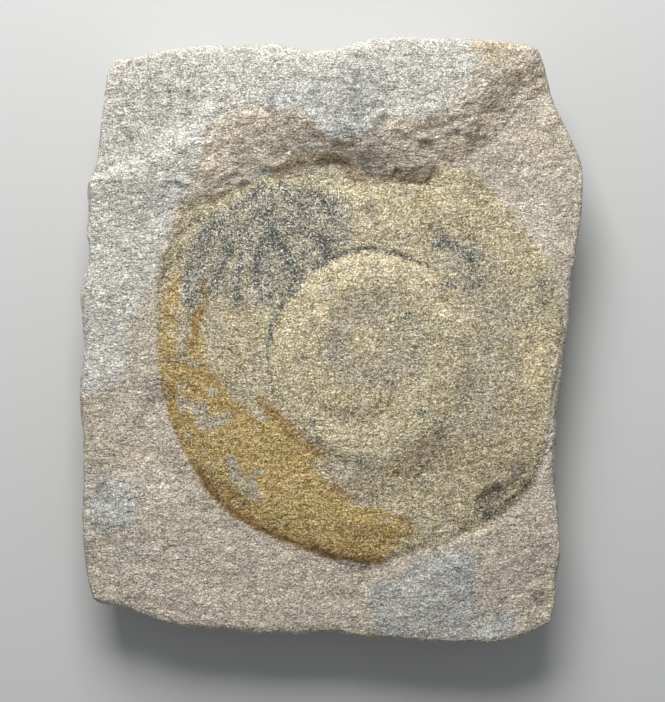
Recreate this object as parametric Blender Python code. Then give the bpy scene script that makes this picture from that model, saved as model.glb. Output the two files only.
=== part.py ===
"""Slab of fine sandstone with the raised, disc-shaped cast of an eldonia, lying flat with the fossil up.

Lengths are millimetres until the mesh is written in metres. X runs across the slab, Y along it, and Z up
from the face it rests on, with the zero point in the middle of the slab's outline.
"""

import math

import bmesh
import bpy
from mathutils import Vector, noise
from mathutils.geometry import delaunay_2d_cdt, intersect_point_line

MM = 0.001
NODE = "fossil_slab"
STONE_COLOUR = (0.41, 0.37, 0.29, 1.0)
STONE_ROUGHNESS = 0.92

# The slab's outline as seen from above, clockwise from the upper left corner.
TOP_EDGE = (
    (-43.6, 56.0), (-39.8, 56.4), (-33.4, 58.0), (-23.8, 59.0), (-17.4, 59.2), (-11.0, 59.4),
    (-7.8, 58.8), (-4.6, 58.0), (-1.4, 58.0), (1.8, 58.4), (5.0, 59.4), (8.2, 60.2), (11.4, 60.6),
    (16.2, 60.6), (22.6, 60.2), (32.2, 59.8), (38.6, 59.4), (41.2, 58.6),
)
RIGHT_EDGE = (
    (42.5, 56.0), (43.3, 52.8), (44.7, 47.8), (46.1, 44.8), (47.9, 41.8), (49.4, 38.4), (50.1, 36.8),
    (50.8, 33.6), (50.5, 26.0), (50.2, 22.4), (49.5, 19.2), (49.1, 14.4), (48.5, 12.8), (48.5, 6.4),
    (47.8, 1.6), (47.3, -1.6), (46.9, -6.0), (46.3, -9.6), (45.7, -12.8), (45.5, -20.0), (45.3, -25.6),
    (45.1, -30.4), (45.8, -33.6), (45.7, -38.4), (46.3, -41.6), (45.9, -44.8), (45.0, -50.0), (45.5, -51.6),
    (44.9, -54.8),
)
BOTTOM_EDGE = (
    (44.7, -56.8), (41.1, -58.8), (38.2, -59.8), (34.0, -61.0), (31.8, -61.2), (28.6, -60.6), (25.0, -61.1),
    (17.8, -60.7), (10.8, -60.1), (5.8, -60.1), (3.4, -59.3), (0.8, -58.8), (-3.8, -59.4), (-13.4, -59.6),
    (-19.2, -59.1), (-26.2, -58.3), (-31.8, -57.9), (-37.8, -55.7), (-44.0, -53.5),
)
LEFT_EDGE = (
    (-47.8, -53.2), (-49.2, -49.0), (-50.0, -41.6), (-50.2, -35.2), (-49.8, -28.0), (-50.0, -19.2),
    (-50.6, -14.0), (-50.6, -8.4), (-50.0, -4.8), (-49.6, -0.8), (-50.4, 8.0), (-50.0, 11.2), (-48.8, 16.0),
    (-48.6, 18.4), (-49.2, 21.6), (-48.6, 27.2), (-48.8, 30.4), (-48.4, 32.0), (-46.8, 35.2), (-46.2, 40.0),
    (-45.6, 48.0), (-45.0, 52.8),
)

# Spot heights of the two stone surfaces: the low one around the disc, and the thicker layer beyond the scarp.
LOW_GROUND = (
    (-36.0, 24.0, 16.9), (-42.2, 26.0, 17.2), (-44.2, 10.0, 16.9), (-37.0, 8.0, 16.2),
    (-45.2, -6.0, 16.5), (-37.2, -5.0, 15.8), (-44.2, -18.0, 15.7), (-37.0, -16.0, 15.3),
    (-45.2, -32.0, 15.2), (-28.0, -32.0, 14.7), (-32.2, -40.0, 14.7), (-44.2, -48.0, 14.6),
    (-16.2, -50.0, 14.6), (1.8, -50.0, 14.8), (17.8, -50.0, 15.5), (29.8, -56.0, 15.3),
    (30.0, -42.0, 16.1), (41.8, -36.0, 16.4), (41.8, -52.0, 15.2), (43.8, -24.0, 15.8),
    (45.8, 8.0, 15.6), (44.0, 22.0, 15.8), (35.5, 30.0, 15.9), (45.8, 36.0, 15.9),
    (37.8, 43.0, 16.6), (23.8, 34.0, 16.0), (-6.2, 34.0, 15.9), (-26.0, 28.0, 16.4),
)
HIGH_GROUND = (
    (-45.2, 35.0, 18.5), (-42.2, 52.0, 18.7), (-36.2, 46.0, 19.1), (-22.2, 54.0, 19.7), (-6.2, 48.0, 20.1),
    (7.8, 56.0, 20.0), (13.8, 45.0, 20.1), (27.8, 54.0, 19.7), (37.8, 57.6, 18.7),
)

# The scarp between them: its crest and its foot, both from left to right.
SCARP_CREST = (
    (-49.4, 31.2), (-46.2, 31.4), (-42.6, 32.8), (-38.2, 35.4), (-34.2, 37.4), (-30.2, 40.8), (-26.2, 44.2),
    (-21.8, 47.2), (-17.2, 47.0), (-12.2, 45.6), (-6.2, 44.0), (-1.8, 42.4), (1.8, 40.4), (9.4, 40.0),
    (13.4, 41.8), (17.0, 44.8), (21.8, 45.6), (26.8, 47.2), (30.2, 50.0), (33.8, 52.4), (37.8, 54.8),
    (39.4, 57.6), (42.6, 60.4),
)
SCARP_FOOT = (
    (-50.4, 28.0), (-44.2, 25.8), (-38.2, 24.6), (-33.2, 25.4), (-29.8, 26.4), (-26.2, 28.4), (-21.2, 29.8),
    (-17.2, 31.4), (-13.8, 33.4), (-9.8, 34.8), (-6.2, 35.4), (1.6, 35.6), (5.4, 34.2), (9.8, 33.2),
    (13.8, 33.0), (17.8, 31.6), (20.2, 33.8), (23.8, 36.0), (28.8, 37.6), (32.2, 40.0), (33.8, 44.0),
    (37.8, 46.8), (44.0, 51.4), (47.0, 53.0),
)
SCARP_CURVE = 1.2
SCARP_LIP = 0.5
SCARP_LIP_WIDTH = 3.0
SCARP_LIP_END = (-18.0, -30.0)

# The fossil: an outer disc, a raised inner disc, and a shallow hollow in the middle of that.
DISC_CENTRE = (5.2, -4.8)
DISC_MARGIN = (
    (-77.0, 39.3), (-71.0, 38.8), (-65.0, 40.0), (-55.0, 41.0), (-46.0, 42.3), (-32.0, 42.4), (-19.0, 40.3),
    (-10.0, 39.8), (15.0, 42.0), (35.0, 42.8), (55.0, 43.9), (67.0, 41.2), (72.0, 38.4), (85.0, 37.0),
    (95.0, 38.6), (107.0, 40.1), (118.0, 42.1), (128.0, 43.6), (138.0, 46.6), (149.0, 44.6), (158.0, 42.9),
    (170.0, 41.0), (179.0, 39.8), (186.0, 39.2), (194.0, 38.5), (210.0, 38.3), (224.0, 38.9), (238.0, 38.3),
    (252.0, 37.9), (265.0, 38.9), (275.0, 39.7),
)
DISC_CROWN_HEIGHT = 16.75
DISC_FALL = 1.3
DISC_FALL_POWER = 4.0
DISC_RIM = (0.965, 1.03)
INNER_CENTRE = (7.8, -3.4)
INNER_RADIUS = 20.7
INNER_EDGE_RISE = 0.35
INNER_EDGE = (0.955, 1.03)
INNER_SWELL_RISE = 0.6
INNER_SWELL = (0.7, 1.0)
HOLLOW_CENTRE = (8.8, -1.6)
HOLLOW_RADII = (10.8, 12.4)
HOLLOW_DEPTH = 0.75
HOLLOW_STEP = (0.6, 1.3)

# Arcs about the inner disc's centre: radius, half width, rise, and the compass bearings of its two ends.
RING_ARCS = (
    (22.0, 2.8, -0.45, 25.0, 170.0),
    (18.8, 5.0, 0.4, 205.0, 325.0),
    (28.5, 5.0, -0.35, 215.0, 320.0),
)
RING_ARC_FADE = 25.0

# Grooves: the points of each, its half width and its depth.
GROOVES = (
    (((-34.2, -9.4), (-36.4, -13.0), (-38.2, -17.2)), 0.9, 0.55),
    (((31.2, -30.2), (34.0, -31.8)), 1.9, 0.8),
    (((36.2, -29.4), (38.4, -26.6)), 1.9, 0.8),
    (((-47.4, -32.0), (-45.6, -29.4)), 0.9, 0.5),
    (((-33.2, -42.2), (-30.0, -41.2)), 0.9, 0.5),
    (((7.8, -45.2), (5.0, -49.0), (3.8, -53.0)), 1.0, 0.35),
    (((-47.0, 30.6), (-44.6, 30.0)), 1.4, 0.45),
)

# Side faces: how far the top rim stands in from the outline, by compass bearing from the middle, and then
# the rows below the rim, each a share of the height and how far it stands in.
RIM_INSET = (
    (-60.0, 1.2), (-42.0, 1.0), (-32.0, 2.6), (-20.0, 2.2), (-5.0, 1.8), (10.0, 2.4), (20.0, 1.0),
    (40.0, 1.0), (58.0, 1.6), (75.0, 2.4), (100.0, 3.0), (120.0, 2.2), (140.0, 1.3), (180.0, 2.0),
    (215.0, 1.2), (250.0, 1.8), (275.0, 1.6),
)
RIM_DROP_PER_INSET = 0.95
RIM_ROUND = (0.42, 0.22)
SIDE_ROWS = ((0.0, 0.0), (0.24, 0.1), (0.5, 0.3), (0.74, 0.55), (0.92, 0.8))
SIDE_SLANT = (
    (-90.0, 1.6), (-60.0, 5.2), (-30.0, 1.6), (0.0, 3.2), (35.0, 6.2), (60.0, 1.8), (95.0, 3.8),
    (130.0, 1.4), (165.0, 4.4), (205.0, 1.6), (235.0, 5.4),
)
FOOT_CHIP = 1.6
SIDE_ROUGHNESS = 1.1
COLUMNS = 190

# Spacing of the mesh's points on the upper face and underside, and how close two of them may come.
TOP_SPACING = 2.1
TOP_GAP = 1.25
LINE_SPACING = 1.75
UNDER_SPACING = 4.6
UNDER_GAP = 3.0
POINT_JITTER = 0.3

# Unevenness: the size of the bumps, and their height on the broken stone and on the disc.
BUMPS = ((13.0, 0.42, 0.16), (5.5, 0.34, 0.12), (2.9, 0.24, 0.08))
UNDER_BUMP_SIZE = 24.0
UNDER_HOLLOW = 1.5
UNDER_FLAT_RADIUS = 16.0


def clear_scene():
    """Empties the scene of its objects."""
    for item in list(bpy.data.objects):
        bpy.data.objects.remove(item, do_unlink=True)


def smooth_step(value, low, high):
    """0 below low, 1 above high, and an eased ramp between them."""
    share = min(1.0, max(0.0, (value - low) / (high - low)))
    return share * share * (3.0 - 2.0 * share)


def around(table, bearing):
    """The value at a compass bearing in degrees, eased between a closed table's entries."""
    start = table[0][0]
    bearing = (bearing - start) % 360.0 + start
    closed = (*table, (start + 360.0, table[0][1]))
    for (low, first), (high, second) in zip(closed, closed[1:]):
        if bearing <= high:
            return first + (second - first) * smooth_step(bearing, low, high)
    return table[0][1]


def bearing_of(x, y):
    """Compass bearing of a direction in degrees, anticlockwise from +X."""
    return math.degrees(math.atan2(y, x))


def spot_height(spots, x, y):
    """Height of a surface through the spot heights, each weighted by its nearness."""
    total = 0.0
    weights = 0.0
    for spot_x, spot_y, height in spots:
        weight = 1.0 / (math.hypot(x - spot_x, y - spot_y) ** 3 + 1.0)
        total += weight * height
        weights += weight
    return total / weights


def distance_to_line(line, x, y):
    """Distance from a point to the nearest stretch of a line of points."""
    point = Vector((x, y, 0.0))
    nearest = math.inf
    for first, second in zip(line, line[1:]):
        start = Vector((*first, 0.0))
        end = Vector((*second, 0.0))
        foot, share = intersect_point_line(point, start, end)
        if share < 0.0:
            foot = start
        elif share > 1.0:
            foot = end
        nearest = min(nearest, (point - foot).length)
    return nearest


def height_on_line(line, x):
    """The Y of a left-to-right line at a given X."""
    if x <= line[0][0]:
        return line[0][1]
    for (left, first), (right, second) in zip(line, line[1:]):
        if x <= right:
            return first + (second - first) * (x - left) / (right - left)
    return line[-1][1]


def bumps(x, y, on_disc):
    """Unevenness of the upper face, from broad swells to small lumps."""
    total = 0.0
    for index, (size, rough, fine) in enumerate(BUMPS):
        place = Vector((x / size, y / size, 7.3 + 4.1 * index))
        total += noise.noise(place) * (rough + (fine - rough) * on_disc)
    return total


def disc_share(x, y):
    """Distance from the disc's middle as a share of its margin: 1 on the margin."""
    across, along = x - DISC_CENTRE[0], y - DISC_CENTRE[1]
    return math.hypot(across, along) / around(DISC_MARGIN, bearing_of(across, along))


def ring_arc_height(x, y):
    """Rise of the grooves and crests that run part of the way round the inner disc."""
    across, along = x - INNER_CENTRE[0], y - INNER_CENTRE[1]
    distance = math.hypot(across, along)
    total = 0.0
    for radius, half_width, rise, first, last in RING_ARCS:
        turned = (bearing_of(across, along) - first) % 360.0
        fade = smooth_step(turned, 0.0, RING_ARC_FADE)
        fade *= 1.0 - smooth_step(turned, last - first - RING_ARC_FADE, last - first)
        total += rise * fade * (1.0 - smooth_step(abs(distance - radius), 0.0, half_width))
    return total


def disc_height(x, y, share):
    """Height of the fossil's own surface: a low crown, the inner disc on it, and the hollow in that."""
    inner = math.hypot(x - INNER_CENTRE[0], y - INNER_CENTRE[1]) / INNER_RADIUS
    hollow = math.hypot((x - HOLLOW_CENTRE[0]) / HOLLOW_RADII[0], (y - HOLLOW_CENTRE[1]) / HOLLOW_RADII[1])
    height = DISC_CROWN_HEIGHT - DISC_FALL * min(share, 1.05) ** DISC_FALL_POWER
    height += INNER_EDGE_RISE * (1.0 - smooth_step(inner, *INNER_EDGE))
    height += INNER_SWELL_RISE * (1.0 - smooth_step(inner, *INNER_SWELL))
    height += ring_arc_height(x, y)
    return height - HOLLOW_DEPTH * (1.0 - smooth_step(hollow, *HOLLOW_STEP))


def matrix_height(x, y):
    """Height of the stone around the fossil, with the scarp up to the thicker layer."""
    low = spot_height(LOW_GROUND, x, y)
    if y <= height_on_line(SCARP_FOOT, x):
        return low
    high = spot_height(HIGH_GROUND, x, y)
    to_crest = distance_to_line(SCARP_CREST, x, y)
    lip = SCARP_LIP * (1.0 - smooth_step(x, SCARP_LIP_END[1], SCARP_LIP_END[0]))
    if y >= height_on_line(SCARP_CREST, x):
        return high + lip * (1.0 - smooth_step(to_crest, 0.0, SCARP_LIP_WIDTH))
    share = to_crest / (to_crest + distance_to_line(SCARP_FOOT, x, y) + 1e-6)
    return high + lip * (1.0 - share) + (low - high) * share ** SCARP_CURVE


def groove_depth(x, y):
    """Depth of the deepest groove at a point."""
    deepest = 0.0
    for line, half_width, depth in GROOVES:
        deepest = max(deepest, depth * (1.0 - smooth_step(distance_to_line(line, x, y), 0.0, half_width)))
    return deepest


def top_height(x, y):
    """Height of the upper face."""
    share = disc_share(x, y)
    outside = smooth_step(share, *DISC_RIM)
    height = matrix_height(x, y) if outside > 0.0 else 0.0
    if outside < 1.0:
        height = outside * height + (1.0 - outside) * disc_height(x, y, share)
    return height + bumps(x, y, 1.0 - outside) - groove_depth(x, y)


def under_height(x, y):
    """Height of the underside: flat where it rests, with shallow hollows elsewhere."""
    swell = noise.noise(Vector((x / UNDER_BUMP_SIZE, y / UNDER_BUMP_SIZE, 31.7)))
    outer = smooth_step(math.hypot(x, y), UNDER_FLAT_RADIUS, 2.0 * UNDER_FLAT_RADIUS)
    return UNDER_HOLLOW * outer * smooth_step(swell, 0.0, 0.6)


def walk(line, spacing, closed=False):
    """Points at an even spacing along a line of points."""
    ends = [*line, line[0]] if closed else list(line)
    lengths = [math.dist(first, second) for first, second in zip(ends, ends[1:])]
    count = round(sum(lengths) / spacing)
    step = sum(lengths) / count
    points = []
    passed = 0.0
    for (first, second), length in zip(zip(ends, ends[1:]), lengths):
        while len(points) < count and len(points) * step < passed + length:
            share = (len(points) * step - passed) / length
            points.append(tuple(a + (b - a) * share for a, b in zip(first, second)))
        passed += length
    return points


def ring_of(scale, centre, radii=None):
    """Points around the fossil: a scaled copy of its margin, or an ellipse where radii are given."""
    size = scale * (max(radii) if radii else DISC_MARGIN[0][1])
    count = max(6, round(math.tau * size / LINE_SPACING))
    points = []
    for index in range(count):
        angle = math.tau * (index + 0.5 * scale) / count
        across, along = radii or [around(DISC_MARGIN, math.degrees(angle))] * 2
        points.append((centre[0] + scale * across * math.cos(angle),
                       centre[1] + scale * along * math.sin(angle)))
    return points


def feature_points():
    """Points along everything on the upper face that has an edge."""
    points = []
    for line in (SCARP_CREST, SCARP_FOOT):
        points += walk(line, LINE_SPACING)
    for line, _, _ in GROOVES:
        points += walk(line, LINE_SPACING)
    for scale in (*DISC_RIM, 0.92, 0.85, 0.775, 0.7, 0.63):
        points += ring_of(scale, DISC_CENTRE)
    for scale in (*INNER_EDGE, 1.2, 1.12, 0.87, 0.78):
        points += ring_of(scale, INNER_CENTRE, (INNER_RADIUS, INNER_RADIUS))
    for scale in (1.25, 1.05, 0.85, 0.62, 0.4, 0.16):
        points += ring_of(scale, HOLLOW_CENTRE, HOLLOW_RADII)
    return points


def filler_points(spacing):
    """A staggered grid over the slab, each point nudged a little off its place."""
    points = []
    row_height = spacing * math.sqrt(0.75)
    rows = round(130.0 / row_height)
    columns = round(110.0 / spacing)
    for row in range(rows):
        for column in range(columns):
            x = -55.0 + spacing * (column + 0.5 * (row % 2))
            y = -65.0 + row_height * row
            nudge = noise.random_unit_vector() * POINT_JITTER * spacing
            points.append((x + nudge.x, y + nudge.y))
    return points


def inside(outline, x, y):
    """Whether a point lies inside a closed outline."""
    odd = False
    for (x1, y1), (x2, y2) in zip(outline, [*outline[1:], outline[0]]):
        if (y1 > y) != (y2 > y) and x < x1 + (x2 - x1) * (y - y1) / (y2 - y1):
            odd = not odd
    return odd


def spaced_points(outline, candidates, gap):
    """The outline, then each candidate inside it that keeps the gap to every point before it."""
    kept = list(outline)
    cells = {}
    for point in outline:
        cells.setdefault((round(point[0] / gap), round(point[1] / gap)), []).append(point)
    for point in candidates:
        column, row = round(point[0] / gap), round(point[1] / gap)
        near = [other for i in (-1, 0, 1) for j in (-1, 0, 1) for other in cells.get((column + i, row + j), ())]
        if all(math.dist(point, other) > gap for other in near) and inside(outline, *point):
            kept.append(point)
            cells.setdefault((column, row), []).append(point)
    return kept


def add_cover(mesh, ring, candidates, gap, height_at, upward):
    """Covers a ring of vertices with triangles through points whose height comes from a function."""
    outline = [(vert.co.x, vert.co.y) for vert in ring]
    points = spaced_points(outline, candidates, gap)
    flat = [Vector(point) for point in points]
    border = list(range(len(ring)))
    places, _, faces, origins, _, _ = delaunay_2d_cdt(flat, [], [border], 1, 1e-6)
    verts = []
    for place, origin in zip(places, origins):
        if origin[0] < len(ring):
            verts.append(ring[origin[0]])
        else:
            verts.append(mesh.verts.new((place.x, place.y, height_at(place.x, place.y))))
    for face in faces:
        corners = [verts[index] for index in face]
        mesh.faces.new(corners if upward else reversed(corners))


def inset_point(point, inset):
    """A point moved towards the slab's middle."""
    scale = 1.0 - inset / math.hypot(*point)
    return point[0] * scale, point[1] * scale


def side_depth(point, share, stand_in, slant, height):
    """How far a side face stands in from the outline at one height: its slant, and the breaks in it."""
    broad = noise.noise(Vector((point[0] / 13.0, point[1] / 13.0, height / 9.0 + 5.1)))
    small = noise.noise(Vector((point[0] / 4.5, point[1] / 4.5, height / 4.0)))
    breaks = max(0.0, 0.5 + 2.6 * broad) + 0.8 * abs(small)
    return stand_in * slant + SIDE_ROUGHNESS * math.sqrt(share) * breaks


def side_rings(mesh, outline):
    """Rings of vertices down the broken side faces, from the upper rim to the face it rests on."""
    rim, shoulder, foot = [], [], []
    rows = [[] for _ in SIDE_ROWS]
    for point in outline:
        bearing = bearing_of(*point)
        inset = around(RIM_INSET, bearing)
        inset *= 1.0 + 0.35 * noise.noise(Vector((point[0] / 4.0, point[1] / 4.0, 2.2)))
        drop = RIM_DROP_PER_INSET * inset
        rim_point = inset_point(point, inset)
        rim_height = top_height(*rim_point)
        rim.append(mesh.verts.new((*rim_point, rim_height)))
        shoulder_point = inset_point(point, inset * RIM_ROUND[0])
        shoulder.append(mesh.verts.new((*shoulder_point, rim_height - drop * RIM_ROUND[1])))
        slant = around(SIDE_SLANT, bearing)
        for row, (share, stand_in) in zip(rows, SIDE_ROWS):
            height = (rim_height - drop) * (1.0 - share)
            depth = side_depth(point, share, stand_in, slant, height)
            row.append(mesh.verts.new((*inset_point(point, depth), height)))
        depth = side_depth(point, 1.0, 1.0, slant, 0.0) + FOOT_CHIP
        foot.append(mesh.verts.new((*inset_point(point, depth), 0.0)))
    return [rim, shoulder, *rows, foot]


def join_rings(mesh, rings):
    """Fills the side faces between neighbouring rings."""
    for upper, lower in zip(rings, rings[1:]):
        for index in range(len(upper)):
            after = (index + 1) % len(upper)
            mesh.faces.new((upper[index], upper[after], lower[after], lower[index]))


def build_slab():
    """The whole slab as one closed mesh in metres, centred over its box."""
    noise.seed_set(7)
    corners = [*TOP_EDGE, *RIGHT_EDGE, *BOTTOM_EDGE, *LEFT_EDGE]
    perimeter = sum(math.dist(a, b) for a, b in zip(corners, [*corners[1:], corners[0]]))
    outline = walk(corners, perimeter / COLUMNS, closed=True)
    mesh = bmesh.new()
    rings = side_rings(mesh, outline)
    join_rings(mesh, rings)
    top_candidates = feature_points() + filler_points(TOP_SPACING)
    add_cover(mesh, rings[0], top_candidates, TOP_GAP, top_height, True)
    add_cover(mesh, rings[-1], filler_points(UNDER_SPACING), UNDER_GAP, under_height, False)
    bmesh.ops.triangulate(mesh, faces=mesh.faces[:], quad_method="SHORT_EDGE")
    bmesh.ops.recalc_face_normals(mesh, faces=mesh.faces[:])
    xs = [vert.co.x for vert in mesh.verts]
    ys = [vert.co.y for vert in mesh.verts]
    middle = Vector(((min(xs) + max(xs)) / 2, (min(ys) + max(ys)) / 2, 0.0))
    bmesh.ops.translate(mesh, verts=mesh.verts[:], vec=-middle)
    bmesh.ops.scale(mesh, verts=mesh.verts[:], vec=(MM, MM, MM))
    return mesh


def stone_material():
    """Dull grey-beige sandstone."""
    material = bpy.data.materials.new("sandstone")
    material.use_nodes = True
    shader = material.node_tree.nodes["Principled BSDF"]
    shader.inputs["Base Color"].default_value = STONE_COLOUR
    shader.inputs["Roughness"].default_value = STONE_ROUGHNESS
    shader.inputs["Metallic"].default_value = 0.0
    return material


def main():
    clear_scene()
    mesh = build_slab()
    data = bpy.data.meshes.new(NODE)
    mesh.to_mesh(data)
    mesh.free()
    slab = bpy.data.objects.new(NODE, data)
    slab.data.materials.append(stone_material())
    bpy.context.collection.objects.link(slab)


main()
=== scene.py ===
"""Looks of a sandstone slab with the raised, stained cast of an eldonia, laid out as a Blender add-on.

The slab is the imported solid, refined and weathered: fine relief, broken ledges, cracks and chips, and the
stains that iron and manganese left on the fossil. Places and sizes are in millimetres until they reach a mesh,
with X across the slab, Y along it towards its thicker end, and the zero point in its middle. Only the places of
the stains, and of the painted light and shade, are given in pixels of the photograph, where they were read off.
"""

import math

import bmesh
import bpy
import numpy as np
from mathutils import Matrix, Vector, noise
from mathutils.bvhtree import BVHTree


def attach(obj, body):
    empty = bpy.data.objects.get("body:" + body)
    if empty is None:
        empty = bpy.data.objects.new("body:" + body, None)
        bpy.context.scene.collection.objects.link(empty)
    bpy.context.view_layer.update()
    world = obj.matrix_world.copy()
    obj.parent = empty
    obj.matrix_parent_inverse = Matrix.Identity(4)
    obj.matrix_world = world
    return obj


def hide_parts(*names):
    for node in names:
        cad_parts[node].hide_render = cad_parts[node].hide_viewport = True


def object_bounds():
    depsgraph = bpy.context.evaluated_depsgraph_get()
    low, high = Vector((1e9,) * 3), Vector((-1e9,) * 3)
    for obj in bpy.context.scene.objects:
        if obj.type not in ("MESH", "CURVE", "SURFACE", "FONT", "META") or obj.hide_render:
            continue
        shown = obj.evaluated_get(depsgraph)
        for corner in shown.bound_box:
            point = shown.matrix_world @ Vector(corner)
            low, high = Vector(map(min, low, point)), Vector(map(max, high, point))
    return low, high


bl_info = {
    "name": "Eldonia Slab",
    "version": (1, 0, 0),
    "blender": (4, 5, 0),
    "location": "3D View > Sidebar > Eldonia",
    "description": "Dresses the packed slab as broken, stained sandstone and lights it",
    "category": "Object",
}

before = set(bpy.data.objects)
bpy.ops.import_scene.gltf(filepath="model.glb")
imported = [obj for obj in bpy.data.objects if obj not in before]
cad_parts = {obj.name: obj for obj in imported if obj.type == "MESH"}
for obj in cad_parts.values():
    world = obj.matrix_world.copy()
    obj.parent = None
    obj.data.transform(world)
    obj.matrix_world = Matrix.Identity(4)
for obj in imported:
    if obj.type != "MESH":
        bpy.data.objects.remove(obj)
cad_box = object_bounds()

MM = 0.001
NODE = "fossil_slab"
PIECE = "eldonia_slab"

# The tables below give places on the plan that the solid was drawn on. It was then centred on its own box,
# whose middle is here on that plan.
BOX_MIDDLE = (0.07, -0.29)

# The photograph's frame: its height in pixels, the real size of one, the pixel at the plan's zero point, and
# the frame's middle on the plan. The camera's distance is measured from the height of the slab's face.
PHOTO_HEIGHT = 702
PIXEL_SIZE = 0.2
PHOTO_ZERO = (331, 340)
PHOTO_MIDDLE = (0.3, -2.2)
SENSOR_SIZE = 36.0
FACE_HEIGHT = 17.0

# The fossil's margin: compass bearing from its centre in degrees, and distance. The hollow in its inner disc:
# its middle, and how far it reaches across and along.
DISC_CENTRE = (5.2, -4.8)
DISC_MARGIN = (
    (-77.0, 39.3), (-71.0, 38.8), (-65.0, 40.0), (-55.0, 41.0), (-46.0, 42.3), (-32.0, 42.4), (-19.0, 40.3),
    (-10.0, 39.8), (15.0, 42.0), (35.0, 42.8), (55.0, 43.9), (67.0, 41.2), (72.0, 38.4), (85.0, 37.0),
    (95.0, 38.6), (107.0, 40.1), (118.0, 42.1), (128.0, 43.6), (138.0, 46.6), (149.0, 44.6), (158.0, 42.9),
    (170.0, 41.0), (179.0, 39.8), (186.0, 39.2), (194.0, 38.5), (210.0, 38.3), (224.0, 38.9), (238.0, 38.3),
    (252.0, 37.9), (265.0, 38.9), (275.0, 39.7),
)
HOLLOW_CENTRE = (8.8, -1.6)
HOLLOW_RADII = (10.8, 12.4)

# Shares of the margin's distance: over which the solid spreads the step at the margin, over which the stone
# shows it, and over which the iron stains fade beyond it. The step is measured at this many bearings.
SOLID_RIM = (0.965, 1.03)
CRISP_RIM = (0.985, 1.01)
IRON_RIM = (1.0, 1.04)
RIM_BEARINGS = 120

# The bearings between which the step stays wide: where that starts and is full, starts to end and has ended,
# and the share of the step that stays wide there.
SOFT_RIM = (106.0, 118.0, 138.0, 154.0)
SOFT_RIM_SHARE = 0.8

# The scarp's crest and foot, from left to right, and where its broken look starts and is full along it.
SCARP_CREST = (
    (-49.4, 31.2), (-42.6, 32.8), (-34.2, 37.4), (-26.2, 44.2), (-21.8, 47.2), (-12.2, 45.6), (-1.8, 42.4),
    (1.8, 40.4), (9.4, 40.0), (17.0, 44.8), (26.8, 47.2), (33.8, 52.4), (42.6, 60.4),
)
SCARP_FOOT = (
    (-50.4, 28.0), (-38.2, 24.6), (-29.8, 26.4), (-21.2, 29.8), (-13.8, 33.4), (-6.2, 35.4), (1.6, 35.6),
    (9.8, 33.2), (17.8, 31.6), (23.8, 36.0), (32.2, 40.0), (37.8, 46.8), (47.0, 53.0),
)
SCARP_START = (-36.0, -22.0)

# Where the scarp fades out, from its foot and from its crest: for its relief, and for its rough look.
FOOT_FADE = (-1.0, 1.0)
RELIEF_CREST_FADE = (-1.0, 1.0)
ROUGH_CREST_FADE = (0.0, 3.0)

# Ledges break a slope into steps. Each area of them has its outline, the softness of its edge, the height of
# a step and its strength, and the scarp has a step and a strength of its own. The steps' edges wander with a
# noise, whose layers have a size, a strength and a place, by a number of steps, and each edge rises between
# two shares of a step. Ledges are only where a broad noise is high enough.
LEDGE_AREAS = (
    (((-50.0, 29.0), (-33.0, 27.0), (-33.5, 14.0), (-36.0, 0.0), (-36.0, -12.0), (-50.0, -12.0)),
     4.0, 0.22, 0.8),
    (((30.0, -41.0), (46.0, -30.0), (46.0, -56.0), (30.0, -60.0)), 4.0, 0.2, 0.6),
    (((-50.0, -44.0), (-20.0, -52.0), (20.0, -52.0), (20.0, -60.0), (-50.0, -60.0)), 4.0, 0.2, 0.4),
)
SCARP_LEDGE = 0.75
SCARP_LEDGE_SHARE = 0.5
LEDGE_WANDER = (((5.0, 3.0, 5.0), 1.0, 0.0), ((1.6, 1.6, 1.6), 0.4, 1.0))
LEDGE_WANDER_STEPS = 0.8
LEDGE_RISE = (0.3, 0.7)
SCARP_LEDGE_PLACE = 3.0
AREA_LEDGE_PLACE = 5.0
BROKEN_SIZE = 7.0
BROKEN_PLACE = 9.0
BROKEN_NOISE = (-0.35, 0.25)

# Facets: their width, their slope on the scarp and beside it, and where their places and tilts come from.
FACET_SIZE = 3.2
FACET_PLACE = 31.0
FACET_TILT = 0.4
MATRIX_FACET_TILT = 0.16
TILT_SPREAD = 7.3
TILT_OFFSETS = (Vector((9.3, -1.5, -7.9)), Vector((0.0, 0.0, 0.0)), Vector((-6.4, 5.2, 14.1)))

# Cracks: the points of each, its half width and its depth.
CRACKS = (
    (((-34.2, -9.0), (-35.6, -11.6), (-37.0, -13.0), (-38.4, -17.2)), 0.7, 0.3),
    (((-47.4, -30.8), (-46.0, -29.2)), 0.7, 0.3),
    (((-33.4, -42.0), (-30.0, -41.2)), 0.7, 0.25),
    (((-42.4, -52.0), (-36.0, -52.8), (-29.4, -55.0)), 0.7, 0.25),
    (((7.8, -45.0), (6.0, -47.6), (3.8, -53.0)), 0.6, 0.2),
    (((30.2, -32.0), (32.0, -30.8), (33.6, -29.6)), 1.0, 0.35),
    (((35.0, -32.8), (38.4, -31.2), (40.6, -28.2), (42.0, -24.6)), 0.9, 0.3),
    (((34.0, -53.0), (40.0, -48.6), (43.4, -47.0)), 0.9, 0.3),
    (((-4.6, 13.8), (-0.2, 16.4), (3.4, 17.8), (7.8, 18.2), (11.0, 17.6), (14.8, 16.4), (20.0, 14.4)),
     0.9, 0.25),
    (((-9.4, 8.0), (-11.8, 4.0), (-12.8, -1.0), (-12.6, -6.4), (-11.0, -10.2), (-6.6, -16.6), (-2.4, -20.4)),
     0.9, 0.12),
)

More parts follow.
